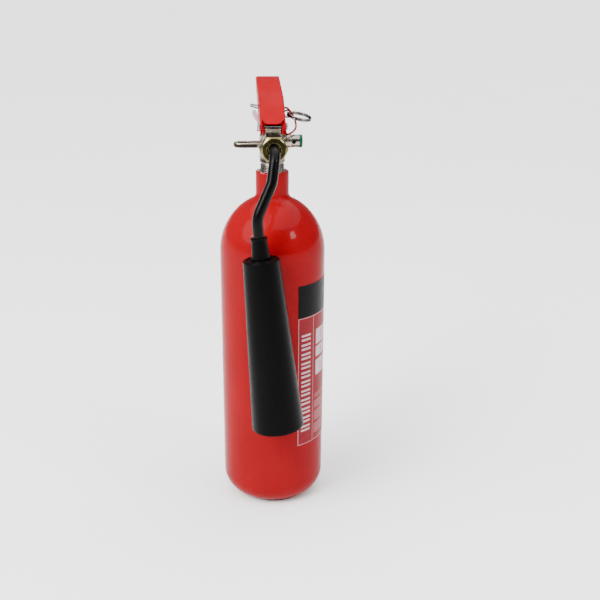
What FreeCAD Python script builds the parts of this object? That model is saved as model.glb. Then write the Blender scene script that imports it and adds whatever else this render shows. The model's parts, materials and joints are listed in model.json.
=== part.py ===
import FreeCAD, Part
import math
import os
import Sketcher
from FreeCAD import Placement, Rotation, Vector

# A hand-held CO2 fire extinguisher: an aluminium cylinder with a squeeze-grip valve and a
# discharge horn on a swivelling bent tube.  Millimetres, +Z up.  The origin is the centre of
# the base, the outlet and horn point along -Y, the grip along +Y, the bursting disc along +X
# and the hanging lug along -X.

SIZES = {
    # cylinder
    "body_radius": 59.6,
    "body_wall": 6.5,
    "base_flat": 33.0,
    "base_ring": 27.0,
    "base_dish": 5.0,
    "base_thickness": 8.0,
    "dome_start": 304.2,
    "knuckle_radius": 67.0,
    "knuckle_angle": 46.4,
    "neck_radius": 18.5,
    "neck_fillet": 8.5,
    "neck_top": 395.0,
    "neck_edge": 1.5,
    "neck_bore": 13.55,
    # label
    "label_bottom": 79.2,
    "label_top": 276.5,
    "label_half_angle": 64.5,
    "label_gap": 0.05,
    "label_thickness": 0.25,
    # valve body
    "thread_radius": 13.5,
    "thread_root": 12.4,
    "thread_pitch": 1.81,
    "stem_foot": 376.0,
    "block_bottom": 405.0,
    "block_top": 436.0,
    "block_radius": 14.0,
    "outlet_height": 424.5,
    "outlet_boss": 11.0,
    "outlet_reach": 29.0,
    "outlet_bore": 4.5,
    "burst_height": 427.3,
    "burst_boss": 7.5,
    "burst_reach": 20.5,
    "burst_bore": 3.0,
    "burst_seat": 5.5,
    "burst_seat_at": 15.0,
    "plug_radius": 7.0,
    "plug_length": 9.0,
    "plug_vent_radius": 2.2,
    "plug_vent_at": 23.4,
    "plug_cap": 3.7,
    "lug_height": 424.0,
    "lug_thickness": 5.4,
    "lug_half_width": 9.0,
    "lug_reach": 42.5,
    "lug_slot_inner": 28.5,
    "lug_slot_outer": 33.5,
    "lug_slot_radius": 4.8,
    "lug_rounding": 1.8,
    "lug_root": 8.0,
    "turret_half_width": 8.7,
    "turret_front": 21.0,
    "turret_back": 12.0,
    "turret_top": 452.0,
    "chamber_radius": 8.0,
    "seat_height": 412.0,
    "passage_radius": 4.2,
    "gland_radius": 6.0,
    "gland_seat": 440.0,
    # pivot
    "pivot_back": -16.0,
    "pivot_height": 446.0,
    "pivot_radius": 2.5,
    "pivot_clearance": 0.06,
    # levers
    "ear_radius": 8.5,
    "bend_radius": 2.4,
    "lever_half_width": 13.8,
    "lever_sheet": 2.0,
    "lever_belly_y": 6.0,
    "lever_belly_z": 444.2,
    "lever_waist_y": 38.0,
    "lever_waist_z": 447.5,
    "lever_throat_y": 50.0,
    "lever_throat_z": 458.0,
    "lever_tail_y": 96.0,
    "lever_tail_z": 471.5,
    "lever_tail_radius": 9.0,
    "lever_end_y": 103.5,
    "lever_end_z": 480.5,
    "lever_end_radius": 6.0,
    "lever_back_y": 98.0,
    "lever_back_z": 486.3,
    "lever_crest_y": 17.7,
    "lever_crest_z": 473.6,
    "lever_nose_y": -21.0,
    "lever_nose_z": 451.3,
    "lever_nose_radius": 3.5,
    "lever_lip_y": -24.2,
    "lever_lip_z": 448.4,
    "nose_arch_y": -16.5,
    "nose_arch_radius": 12.6,
    "pin_window_front": 22.0,
    "pin_window_back": 32.0,
    "pin_window_bottom": 451.0,
    "pin_window_top": 471.0,
    "pin_window_corner": 2.0,
    "handle_half_width": 11.3,
    "handle_sheet": 2.2,
    "handle_front": -23.0,
    "handle_floor": 437.6,
    "handle_bend_y": 40.0,
    "handle_bend_z": 436.5,
    "handle_tail_y": 98.0,
    "handle_tail_z": 432.5,
    "handle_tail_radius": 7.0,
    "handle_end_top": 444.5,
    "handle_rim_y": 60.0,
    "handle_rim_z": 448.0,
    "handle_flange_front": 19.0,
    "handle_flange_back": 37.0,
    "handle_flange_top": 464.6,
    "handle_ear_radius": 4.2,
    "handle_ear_y": -8.0,
    "handle_ear_z": 450.0,
    "pin_slot_y": 28.0,
    "pin_slot_low": 455.4,
    "pin_slot_high": 459.0,
    "pin_slot_radius": 4.2,
    "pivot_head": 3.8,
    "pivot_tail": 3.4,
    "pivot_rivet": 2.6,
    "pivot_head_reach": 15.9,
    "pivot_tail_reach": 15.6,
    "roll_pin_back": 9.2,
    "roll_pin_height": 441.8,
    "roll_pin_radius": 1.3,
    # stem
    "stem_radius": 2.5,
    "stem_dome_centre": 457.7,
    "piston_radius": 6.6,
    "piston_bottom": 405.0,
    "piston_step": 409.9,
    "spring_wire": 0.8,
    "spring_radius": 5.0,
    "spring_bottom": 386.0,
    "spring_turns": 6.0,
    # dip tube
    "dip_radius": 5.0,
    "dip_bore": 4.0,
    "dip_bottom": 22.0,
    # safety pin
    "pin_wire": 0.9,
    "pin_leg_offset": 1.5,
    "pin_length": 42.5,
    "eye_radius": 4.0,
    "eye_fillet": 3.0,
    "ring_radius": 13.2,
    "ring_wire": 0.95,
    # outlet and tube
    "nut_across_flats": 27.0,
    "nut_back": 25.0,
    "nut_front": 39.5,
    "nut_lip": 3.5,
    "nut_hole": 7.6,
    "nut_bevel_radius": 12.2,
    "nut_bevel_slope": 0.7,
    "tube_radius": 5.8,
    "tube_bore": 4.3,
    "collar_radius": 10.85,
    "collar_back": 31.6,
    # horn
    "horn_length": 192.0,
    "horn_top_radius": 19.5,
    "horn_mouth_radius": 28.8,
    "horn_wall": 2.0,
    "horn_top_wall": 3.0,
    "horn_lip": 0.5,
    "horn_edge": 2.0,
    "ridge_inner": 11.8,
    "ridge_outer": 16.2,
    "ridge_half_width": 0.8,
    "ridge_height": 0.8,
    "liner_gap": 2.4,
    "liner_wall": 1.4,
    "liner_top": 16.0,
    "liner_bore": 7.5,
    "liner_clearance": 0.2,
    "jet_reach": 22.0,
    "jet_tip": 5.0,
    "jet_radius": 7.4,
    "jet_bore": 2.0,
    "ferrule_length": 24.0,
    "ferrule_top_radius": 8.3,
    "ferrule_bottom_radius": 10.1,
    "ferrule_lip": 0.7,
    # seal
    "strap_wire": 1.15,
    "seal_wire": 0.8,
    "tag_length": 13.5,
    "tag_half_width": 2.7,
    "tag_thickness": 1.0,
    "tag_corner": 1.6,
    "tag_gap": 0.4,
}

OUTLET_AXIS = Rotation(Vector(0, 0, 1), Vector(0, -1, 0))
SIDE_AXIS = Rotation(Vector(0, 0, 1), Vector(1, 0, 0))

# The safety pin lies across the levers, its eye lower and further forward than its tips.
PIN_FRAME = Placement(Vector(18.5, 25.4, 453.2), Rotation(-8.0, 12.1, 7.0))

# The horn hangs from the ferrule, leaning a little to the side and away from the cylinder.
HORN_TOP = Vector(-16.4, -82.0, 317.2)
HORN_MOUTH = Vector(0.8, -89.2, 126.2)
HORN_FRAME = Placement(HORN_TOP, Rotation(Vector(0, 0, 1), HORN_TOP - HORN_MOUTH))

# The routes of the tamper seal: from the pin's eye down to the lock bar, round the back of the
# valve under the handle, and the loose end up the other side of the grip.
SEAL_STRAP = [
    Vector(16.2, 28.4, 459.3), Vector(18.3, 22.4, 459.6), Vector(22.6, 20.4, 454.6),
    Vector(25.7, 21.3, 448.8), Vector(27.0, 17.1, 444.5), Vector(26.7, 10.1, 441.0),
    Vector(24.6, 2.5, 438.7), Vector(20.6, -5.4, 437.2), Vector(15.8, -10.4, 436.2),
]
SEAL_BAR = [
    Vector(15.4, -7.6, 436.2), Vector(15.8, 15.8, 436.2), Vector(-15.8, 15.8, 436.2),
    Vector(-15.7, 12.6, 437.0),
]
SEAL_TAIL = [
    Vector(-15.7, 11.2, 438.5), Vector(-15.3, 7.5, 442.0), Vector(-15.3, 5.5, 446.0),
    Vector(-15.5, 5.0, 448.0),
]
TAG_TIP = Vector(-20.1, 9.0, 460.0)

doc = FreeCAD.newDocument("fire_extinguisher")
sheet = doc.addObject("Spreadsheet::Sheet", "Dim")
for row, (alias, value) in enumerate(SIZES.items(), start=1):
    sheet.set(f"A{row}", alias)
    sheet.set(f"B{row}", str(value))
    sheet.setAlias(f"B{row}", alias)
doc.recompute()

NODES = []


def size(alias):
    """The driving size as a number, for shapes that are built without a sketch."""
    return float(getattr(sheet, alias))


def add_node(thing, label, placement=None):
    """Registers a finished sub-part under its label and puts it in its place."""
    thing.Label = label
    if placement is not None:
        thing.Placement = placement
    NODES.append(thing)
    return thing


def new_body(label, placement=None):
    """An empty body for one sub-part."""
    return add_node(doc.addObject("PartDesign::Body", label), label, placement)


def plane_of(body, role):
    """One of the body's own origin planes."""
    return next(item for item in body.Origin.OriginFeatures if item.Role == role)


def new_sketch(body, role, name, lift="0"):
    """An empty sketch on one of the body's origin planes, moved along the plane's normal."""
    sketch = body.newObject("Sketcher::SketchObject", name)
    sketch.AttachmentSupport = [(plane_of(body, role), "")]
    sketch.MapMode = "FlatFace"
    sketch.setExpression("AttachmentOffset.Base.z", lift)
    doc.recompute()
    return sketch


def arc_between(start, end, radius):
    """The short arc from start to end: anticlockwise for a positive radius."""
    chord = end - start
    rise = math.sqrt(max(radius * radius - chord.Length * chord.Length / 4, 0.0))
    side = Vector(-chord.y, chord.x, 0).normalize() * math.copysign(rise, radius)
    centre = (start + end) / 2 + side
    circle = Part.Circle(centre, Vector(0, 0, 1), abs(radius))
    ends = (start, end) if radius > 0 else (end, start)
    angles = [math.atan2(point.y - centre.y, point.x - centre.x) for point in ends]
    return Part.ArcOfCircle(circle, angles[0], angles[1])


def fix_corner(sketch, piece, vertex, across, along):
    """Ties one corner of an outline to its two expressions."""
    for kind, formula in (("DistanceX", across), ("DistanceY", along)):
        value = float(sketch.evalExpression(formula))
        index = sketch.addConstraint(Sketcher.Constraint(kind, -1, 1, piece, vertex, value))
        sketch.setExpression(f"Constraints[{index}]", formula)


def outline(sketch, corners):
    """A closed outline.  A corner is (x, y) or (x, y, radius of the arc to the next corner)."""
    spots = [Vector(*(float(sketch.evalExpression(f)) for f in corner[:2]), 0) for corner in corners]
    first = sketch.GeometryCount
    clockwise = []
    for number, corner in enumerate(corners):
        start, end = spots[number], spots[(number + 1) % len(spots)]
        if len(corner) == 2:
            sketch.addGeometry(Part.LineSegment(start, end), False)
            clockwise.append(False)
            continue
        radius = float(sketch.evalExpression(corner[2]))
        sketch.addGeometry(arc_between(start, end, radius), False)
        clockwise.append(radius < 0)
    for number, corner in enumerate(corners):
        following = (number + 1) % len(corners)
        leave = 1 if clockwise[number] else 2
        enter = 2 if clockwise[following] else 1
        joint = Sketcher.Constraint("Coincident", first + number, leave, first + following, enter)
        sketch.addConstraint(joint)
    for number, corner in enumerate(corners):
        fix_corner(sketch, first + number, 2 if clockwise[number] else 1, corner[0], corner[1])
        if len(corner) == 3:
            radius = abs(float(sketch.evalExpression(corner[2])))
            tie = Sketcher.Constraint("Radius", first + number, radius)
            index = sketch.addConstraint(tie)
            sketch.setExpression(f"Constraints[{index}]", f"abs({corner[2]})")
    return sketch


def circle(sketch, across, along, radius):
    """A full circle tied to the expressions for its centre and radius."""
    numbers = [float(sketch.evalExpression(formula)) for formula in (across, along, radius)]
    centre = Vector(numbers[0], numbers[1], 0)
    index = sketch.addGeometry(Part.Circle(centre, Vector(0, 0, 1), numbers[2]), False)
    fix_corner(sketch, index, 3, across, along)
    tie = sketch.addConstraint(Sketcher.Constraint("Radius", index, numbers[2]))
    sketch.setExpression(f"Constraints[{tie}]", radius)
    return sketch


def revolve(body, name, corners, kind="Revolution"):
    """Turns a section, radius across and height up, about the body's Z axis."""
    sketch = outline(new_sketch(body, "XZ_Plane", name + "_section"), corners)
    feature = body.newObject("PartDesign::" + kind, name)
    feature.Profile = sketch
    feature.ReferenceAxis = (sketch, ["V_Axis"])
    feature.Angle = 360
    doc.recompute()
    return feature


def extrude(body, name, sketch, length, kind="Pad", both_ways=False, backwards=False):
    """Pads or pockets a sketch by the length that the expression gives."""
    feature = body.newObject("PartDesign::" + kind, name)
    feature.Profile = sketch
    feature.SideType = "Symmetric" if both_ways else "One side"
    feature.Reversed = backwards
    feature.setExpression("Length", length)
    before = 0.0 if body.Shape.isNull() else body.Shape.Volume
    doc.recompute()
    if kind == "Pocket" and feature.Shape.Volume >= before - 0.01:
        raise RuntimeError(f"{body.Label}: {name} cuts nothing")
    return feature


def round_edges(body, name, radius, wanted):
    """Rounds those edges of the body that the test picks."""
    base = body.Tip
    picked = [f"Edge{number}" for number, edge in enumerate(base.Shape.Edges, start=1) if wanted(edge)]
    feature = body.newObject("PartDesign::Fillet", name)
    feature.Base = (base, picked)
    feature.setExpression("Radius", radius)
    doc.recompute()
    return feature


def on_side(edge, half_width):
    """Whether an edge of a block lies wholly on one of its two side faces."""
    box = edge.BoundBox
    return box.XLength < 0.01 and abs(abs(box.XMin) - half_width) < 0.01


def turned(label, corners, placement=None):
    """A sub-part that is one turned solid."""
    body = new_body(label, placement)
    revolve(body, label + "_turning", corners)
    return body


def rounded_route(points, radii):
    """Straight runs joined by tangent arcs, one arc radius for each inner point."""
    edges = []
    start = points[0]
    for before, corner, after, radius in zip(points, points[1:], points[2:], radii):
        back = (before - corner).normalize()
        ahead = (after - corner).normalize()
        half_turn = (math.pi - back.getAngle(ahead)) / 2
        reach = radius * math.tan(half_turn)
        inward = (back + ahead).normalize()
        middle = corner + inward * (radius / math.cos(half_turn) - radius)
        edges.append(Part.LineSegment(start, corner + back * reach).toShape())
        edges.append(Part.Arc(corner + back * reach, middle, corner + ahead * reach).toShape())
        start = corner + ahead * reach
    edges.append(Part.LineSegment(start, points[-1]).toShape())
    return Part.Wire(edges)


def swept_solid(route, radius):
    """A round bar along a wire."""
    edge = route.Edges[0]
    start = edge.valueAt(edge.FirstParameter)
    along = edge.tangentAt(edge.FirstParameter)
    ring = Part.Wire([Part.Circle(start, along, radius).toShape()])
    solid = route.makePipeShell([ring], True, True)
    return solid if solid.Volume > 0 else solid.reversed()


def swept_node(label, route, radius, bore=0.0, placement=None):
    """A wire or a tube of one bent route."""
    shape = swept_solid(route, radius)
    if bore:
        shape = shape.cut(swept_solid(route, bore))
    thing = doc.addObject("Part::Feature", label)
    thing.Shape = shape.Solids[0]
    return add_node(thing, label, placement)


def tie(feature, **formulas):
    """Binds a primitive's sizes to the sheet."""
    for prop, formula in formulas.items():
        feature.setExpression(prop, formula)
    return feature


def o_ring(label, middle, section, height, placement=None):
    """A rubber ring, lying at a height on its own axis."""
    ring = tie(doc.addObject("Part::Torus", label), Radius1=middle, Radius2=section)
    ring.Placement = (placement or Placement()) * Placement(Vector(0, 0, height), Rotation())
    NODES.append(ring)
    ring.Label = label
    doc.recompute()
    return ring


def make_cylinder():
    """The pressed aluminium bottle: dished base, straight wall, domed shoulder, bored neck."""
    joint_r = "(Dim.body_radius - Dim.knuckle_radius * (1 - cos(Dim.knuckle_angle)))"
    joint_z = "(Dim.dome_start + Dim.knuckle_radius * sin(Dim.knuckle_angle))"
    crown = f"({joint_r} / cos(Dim.knuckle_angle))"
    crown_z = f"({joint_z} - {crown} * sin(Dim.knuckle_angle))"
    fillet_r = "(Dim.neck_radius + Dim.neck_fillet)"
    fillet_up = f"sqrt(({crown} + Dim.neck_fillet) ^ 2 - {fillet_r} ^ 2)"
    share = f"({crown} / ({crown} + Dim.neck_fillet))"
    inner = "(Dim.body_radius - Dim.body_wall)"
    corner = "(Dim.body_radius - Dim.base_flat)"
    inner_corner = "(Dim.body_radius - Dim.base_flat - Dim.body_wall)"
    floor = "(Dim.base_dish + Dim.base_thickness)"
    turned("cylinder_shell", [
        ("0", "Dim.base_dish", "-(Dim.base_ring ^ 2 + Dim.base_dish ^ 2) / (2 * Dim.base_dish)"),
        ("Dim.base_ring", "0"),
        ("Dim.base_flat", "0", corner),
        ("Dim.body_radius", corner),
        ("Dim.body_radius", "Dim.dome_start", "Dim.knuckle_radius"),
        (joint_r, joint_z, crown),
        (f"{fillet_r} * {share}", f"{crown_z} + {fillet_up} * {share}", "-Dim.neck_fillet"),
        ("Dim.neck_radius", f"{crown_z} + {fillet_up}"),
        ("Dim.neck_radius", "Dim.neck_top - Dim.neck_edge", "Dim.neck_edge"),
        ("Dim.neck_radius - Dim.neck_edge", "Dim.neck_top"),
        ("Dim.neck_bore", "Dim.neck_top"),
        ("Dim.neck_bore", f"Dim.dome_start + sqrt({inner} ^ 2 - Dim.neck_bore ^ 2)", f"-{inner}"),
        (inner, "Dim.dome_start"),
        (inner, f"{floor} + {inner_corner}", f"-{inner_corner}"),
        (f"{inner} - {inner_corner}", floor),
        ("0", floor),
    ])


def make_label():
    """The printed label: a thin sheet wrapped round the side of the cylinder."""
    body = new_body("label_sheet")
    near = "(Dim.body_radius + Dim.label_gap)"
    far = "(Dim.body_radius + Dim.label_gap + Dim.label_thickness)"
    sketch = outline(new_sketch(body, "XY_Plane", "label_arc", "Dim.label_bottom"), [
        (f"{near} * cos(Dim.label_half_angle)", f"-{near} * sin(Dim.label_half_angle)"),
        (f"{far} * cos(Dim.label_half_angle)", f"-{far} * sin(Dim.label_half_angle)", far),
        (f"{far} * cos(Dim.label_half_angle)", f"{far} * sin(Dim.label_half_angle)"),
        (f"{near} * cos(Dim.label_half_angle)", f"{near} * sin(Dim.label_half_angle)", f"-{near}"),
    ])
    extrude(body, "label_height", sketch, "Dim.label_top - Dim.label_bottom")


def threaded_outline():
    """The valve's outer section: the threaded stem and the block above it."""
    turns = int((size("block_bottom") - size("stem_foot")) / size("thread_pitch")) - 1
    corners = [("Dim.chamber_radius", "Dim.stem_foot"), ("Dim.thread_root", "Dim.stem_foot")]
    for turn in range(turns):
        foot = f"Dim.stem_foot + {turn} * Dim.thread_pitch"
        corners.append(("Dim.thread_radius", f"{foot} + 0.35 * Dim.thread_pitch"))
        corners.append(("Dim.thread_radius", f"{foot} + 0.65 * Dim.thread_pitch"))
        corners.append(("Dim.thread_root", f"{foot} + Dim.thread_pitch"))
    return corners + [
        ("Dim.thread_root", "Dim.block_bottom"),
        ("Dim.block_radius", "Dim.block_bottom"),
        ("Dim.block_radius", "Dim.block_top - 1.5"),
        ("Dim.block_radius - 1.5", "Dim.block_top"),
        ("Dim.gland_radius", "Dim.block_top"),
        ("Dim.gland_radius", "Dim.seat_height + 6"),
        ("Dim.chamber_radius", "Dim.seat_height"),
    ]


def make_valve_body():
    """The plated brass forging: stem, block, turret, outlet boss, burst boss and hanging lug."""
    body = new_body("valve_body")
    lug = outline(new_sketch(body, "XY_Plane", "lug_face", "Dim.lug_height - Dim.lug_thickness / 2"), [
        ("-Dim.lug_root", "-Dim.lug_half_width"),
        ("-Dim.lug_root", "Dim.lug_half_width"),
        ("Dim.lug_half_width - Dim.lug_reach", "Dim.lug_half_width", "Dim.lug_half_width"),
        ("-Dim.lug_reach", "0", "Dim.lug_half_width"),
        ("Dim.lug_half_width - Dim.lug_reach", "-Dim.lug_half_width"),
    ])
    extrude(body, "lug", lug, "Dim.lug_thickness")
    root = size("lug_root")
    round_edges(body, "lug_rounding", "Dim.lug_rounding",
                lambda edge: edge.BoundBox.ZLength < 0.01 and edge.BoundBox.XMin < -root - 0.01)
    revolve(body, "stem_and_block", threaded_outline())
    core = outline(new_sketch(body, "XZ_Plane", "core_section"), [
        ("0", "Dim.seat_height"),
        ("Dim.gland_radius + 2", "Dim.seat_height"),
        ("Dim.gland_radius + 2", "Dim.block_top"),
        ("0", "Dim.block_top"),
    ])
    filling = body.newObject("PartDesign::Revolution", "core")
    filling.Profile = core
    filling.ReferenceAxis = (core, ["V_Axis"])
    doc.recompute()
    side = outline(new_sketch(body, "YZ_Plane", "turret_side"), [
        ("-Dim.turret_front", "Dim.block_top - 2"),
        ("Dim.turret_back", "Dim.block_top - 2"),
        ("Dim.turret_back", "Dim.turret_top - 1"),
        ("Dim.turret_back - 1", "Dim.turret_top"),
        ("Dim.pivot_back + 4", "Dim.turret_top"),
        ("Dim.pivot_back + Dim.pivot_radius + 0.1", "Dim.turret_top - 1.5"),
        ("Dim.pivot_back + Dim.pivot_radius + 0.1", "Dim.pivot_height", "-(Dim.pivot_radius + 0.1)"),
        ("Dim.pivot_back", "Dim.pivot_height - Dim.pivot_radius - 0.1", "-(Dim.pivot_radius + 0.1)"),
        ("Dim.pivot_back - 2.12", "Dim.pivot_height - sqrt((Dim.pivot_radius + 0.1) ^ 2 - 2.12 ^ 2)"),
        ("-Dim.turret_front + 1.2", "Dim.pivot_height - 1.6"),
        ("-Dim.turret_front", "Dim.pivot_height - 3"),
    ])
    extrude(body, "turret", side, "2 * Dim.turret_half_width", both_ways=True)
    outlet = circle(new_sketch(body, "XZ_Plane", "outlet_face"), "0", "Dim.outlet_height", "Dim.outlet_boss")
    extrude(body, "outlet_boss_pad", outlet, "Dim.outlet_reach")
    burst = circle(new_sketch(body, "YZ_Plane", "burst_face"), "0", "Dim.burst_height", "Dim.burst_boss")
    extrude(body, "burst_boss_pad", burst, "Dim.burst_reach")
    slot = outline(new_sketch(body, "XY_Plane", "lug_slot_face", "Dim.lug_height + Dim.lug_thickness"), [
        ("-Dim.lug_slot_inner", "Dim.lug_slot_radius"),
        ("-Dim.lug_slot_outer", "Dim.lug_slot_radius", "Dim.lug_slot_radius"),
        ("-Dim.lug_slot_outer - Dim.lug_slot_radius", "0", "Dim.lug_slot_radius"),
        ("-Dim.lug_slot_outer", "-Dim.lug_slot_radius"),
        ("-Dim.lug_slot_inner", "-Dim.lug_slot_radius", "Dim.lug_slot_radius"),
        ("-Dim.lug_slot_inner + Dim.lug_slot_radius", "0", "Dim.lug_slot_radius"),
    ])
    extrude(body, "lug_slot", slot, "2 * Dim.lug_thickness", "Pocket")
    revolve(body, "stem_bore", [
        ("0", "Dim.stem_foot - 1"),
        ("Dim.chamber_radius", "Dim.stem_foot - 1"),
        ("Dim.chamber_radius", "Dim.seat_height"),
        ("Dim.passage_radius", "Dim.seat_height"),
        ("Dim.passage_radius", "Dim.gland_seat"),
        ("Dim.gland_radius", "Dim.gland_seat"),
        ("Dim.gland_radius", "Dim.turret_top + 1"),
        ("0", "Dim.turret_top + 1"),
    ], "Groove")
    face = new_sketch(body, "XZ_Plane", "outlet_bore_face")
    way_out = circle(face, "0", "Dim.outlet_height", "Dim.outlet_bore")
    extrude(body, "outlet_bore_cut", way_out, "Dim.outlet_reach + 1", "Pocket", backwards=True)
    vent = circle(new_sketch(body, "YZ_Plane", "burst_bore_face"), "0", "Dim.burst_height", "Dim.burst_bore")
    extrude(body, "burst_bore_cut", vent, "Dim.burst_reach + 1", "Pocket", backwards=True)
    face = new_sketch(body, "YZ_Plane", "burst_seat_face", "Dim.burst_seat_at")
    seat = circle(face, "0", "Dim.burst_height", "Dim.burst_seat")
    extrude(body, "burst_seat_cut", seat, "Dim.burst_reach", "Pocket", backwards=True)
    face = new_sketch(body, "YZ_Plane", "turret_roll_pin_face")
    roll = circle(face, "Dim.roll_pin_back", "Dim.roll_pin_height", "Dim.roll_pin_radius")
    extrude(body, "roll_pin_hole", roll, "4 * Dim.turret_half_width", "Pocket", both_ways=True)


def make_stem_parts():
    """The push rod with its seat and seal, the gland that guides it and the spring below."""
    turned("valve_stem", [
        ("0", "Dim.piston_bottom - 8"),
        ("Dim.stem_radius", "Dim.piston_bottom - 8"),
        ("Dim.stem_radius", "Dim.piston_bottom"),
        ("Dim.piston_radius", "Dim.piston_bottom"),
        ("Dim.piston_radius", "Dim.piston_step"),
        ("Dim.stem_radius", "Dim.piston_step"),
        ("Dim.stem_radius", "Dim.stem_dome_centre", "Dim.stem_radius"),
        ("0", "Dim.stem_dome_centre + Dim.stem_radius"),
    ])
    turned("seat_seal", [
        ("Dim.stem_radius", "Dim.piston_step"),
        ("Dim.piston_radius", "Dim.piston_step"),
        ("Dim.piston_radius", "Dim.seat_height - 0.6"),
        ("Dim.piston_radius - 0.6", "Dim.seat_height - 0.05"),
        ("Dim.stem_radius", "Dim.seat_height - 0.05"),
    ])
    turned("stem_gland", [
        ("Dim.stem_radius + 0.06", "Dim.gland_seat + 2"),
        ("Dim.gland_radius", "Dim.gland_seat + 2"),
        ("Dim.gland_radius", "Dim.turret_top"),
        ("Dim.gland_radius + 0.8", "Dim.turret_top"),
        ("Dim.gland_radius + 0.8", "Dim.turret_top + 0.8"),
        ("Dim.gland_radius + 0.4", "Dim.turret_top + 1.2"),
        ("Dim.stem_radius + 0.06", "Dim.turret_top + 1.2"),
    ])
    o_ring("stem_o_ring", "Dim.stem_radius + 1.25", "0.9", size("gland_seat") + 0.95)
    turned("spring_carrier", [
        ("Dim.dip_bore - 1", "Dim.spring_bottom - 20"),
        ("Dim.dip_bore - 0.05", "Dim.spring_bottom - 20"),
        ("Dim.dip_bore - 0.05", "Dim.spring_bottom - 8"),
        ("Dim.chamber_radius", "Dim.spring_bottom - 8"),
        ("Dim.chamber_radius", "Dim.spring_bottom"),
        ("Dim.dip_bore - 1", "Dim.spring_bottom"),
    ])
    turned("dip_tube", [
        ("Dim.dip_bore", "Dim.dip_bottom"),
        ("Dim.dip_radius", "Dim.dip_bottom"),
        ("Dim.dip_radius", "Dim.spring_bottom - 8.05"),
        ("Dim.dip_bore", "Dim.spring_bottom - 8.05"),
    ])
    make_spring()


def make_spring():
    """The coil spring that pushes the piston up against its seat."""
    wire = size("spring_wire")
    rise = size("piston_bottom") - size("spring_bottom") - 2 * wire - 0.1
    turns = size("spring_turns")
    coil = Part.makeHelix(rise / turns, rise, size("spring_radius"))
    base = Placement(Vector(0, 0, size("spring_bottom") + wire + 0.05), Rotation())
    spring = doc.addObject("Part::Feature", "stem_spring")
    spring.Shape = swept_solid(Part.Wire(coil.Edges), wire)
    add_node(spring, "stem_spring", base)


def make_burst_parts():
    """The bursting-disc safety outlet, turned about the +X axis."""
    place = Placement(Vector(0, 0, size("burst_height")), SIDE_AXIS)
    turned("burst_disc_washer", [
        ("Dim.burst_bore", "Dim.burst_seat_at"),
        ("Dim.burst_seat", "Dim.burst_seat_at"),
        ("Dim.burst_seat", "Dim.burst_seat_at + 0.8"),
        ("Dim.burst_bore", "Dim.burst_seat_at + 0.8"),
    ], place)
    turned("burst_disc", [
        ("0", "Dim.burst_seat_at + 0.8"),
        ("Dim.burst_seat", "Dim.burst_seat_at + 0.8"),
        ("Dim.burst_seat", "Dim.burst_seat_at + 1.1"),
        ("0", "Dim.burst_seat_at + 1.1"),
    ], place)
    plug = turned("burst_plug", [
        ("Dim.burst_bore", "Dim.burst_seat_at + 1.1"),
        ("Dim.burst_seat", "Dim.burst_seat_at + 1.1"),
        ("Dim.burst_seat", "Dim.burst_reach"),
        ("Dim.plug_radius", "Dim.burst_reach"),
        ("Dim.plug_radius", "Dim.burst_reach + Dim.plug_length"),
        ("0", "Dim.burst_reach + Dim.plug_length"),
        ("0", "Dim.burst_reach + Dim.plug_length - 3"),
        ("Dim.burst_bore", "Dim.burst_reach + Dim.plug_length - 3"),
    ], place)
    vent = circle(new_sketch(plug, "XZ_Plane", "vent_face"), "0", "Dim.plug_vent_at", "Dim.plug_vent_radius")
    extrude(plug, "vent_holes", vent, "4 * Dim.plug_radius", "Pocket", both_ways=True)
    turned("burst_plug_cap", [
        ("0", "Dim.burst_reach + Dim.plug_length"),
        ("Dim.plug_radius", "Dim.burst_reach + Dim.plug_length"),
        ("Dim.plug_radius", "Dim.burst_reach + Dim.plug_length + Dim.plug_cap - 0.7"),
        ("Dim.plug_radius - 0.7", "Dim.burst_reach + Dim.plug_length + Dim.plug_cap"),
        ("0", "Dim.burst_reach + Dim.plug_length + Dim.plug_cap"),
    ], place)


def is_on_roof(edge):
    """Whether an edge of the lever block is one of the two long ones along its roof."""
    ends = {round(vertex.Z, 3) for vertex in edge.Vertexes}
    return round(size("lever_crest_z"), 3) in ends


def pin_hole(body, name, radius):
    """The pivot hole through both of a lever's ears."""
    ring = circle(new_sketch(body, "YZ_Plane", name), "Dim.pivot_back", "Dim.pivot_height", radius)
    extrude(body, name + "_cut", ring, "4 * Dim.lever_half_width", "Pocket", both_ways=True)


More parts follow.
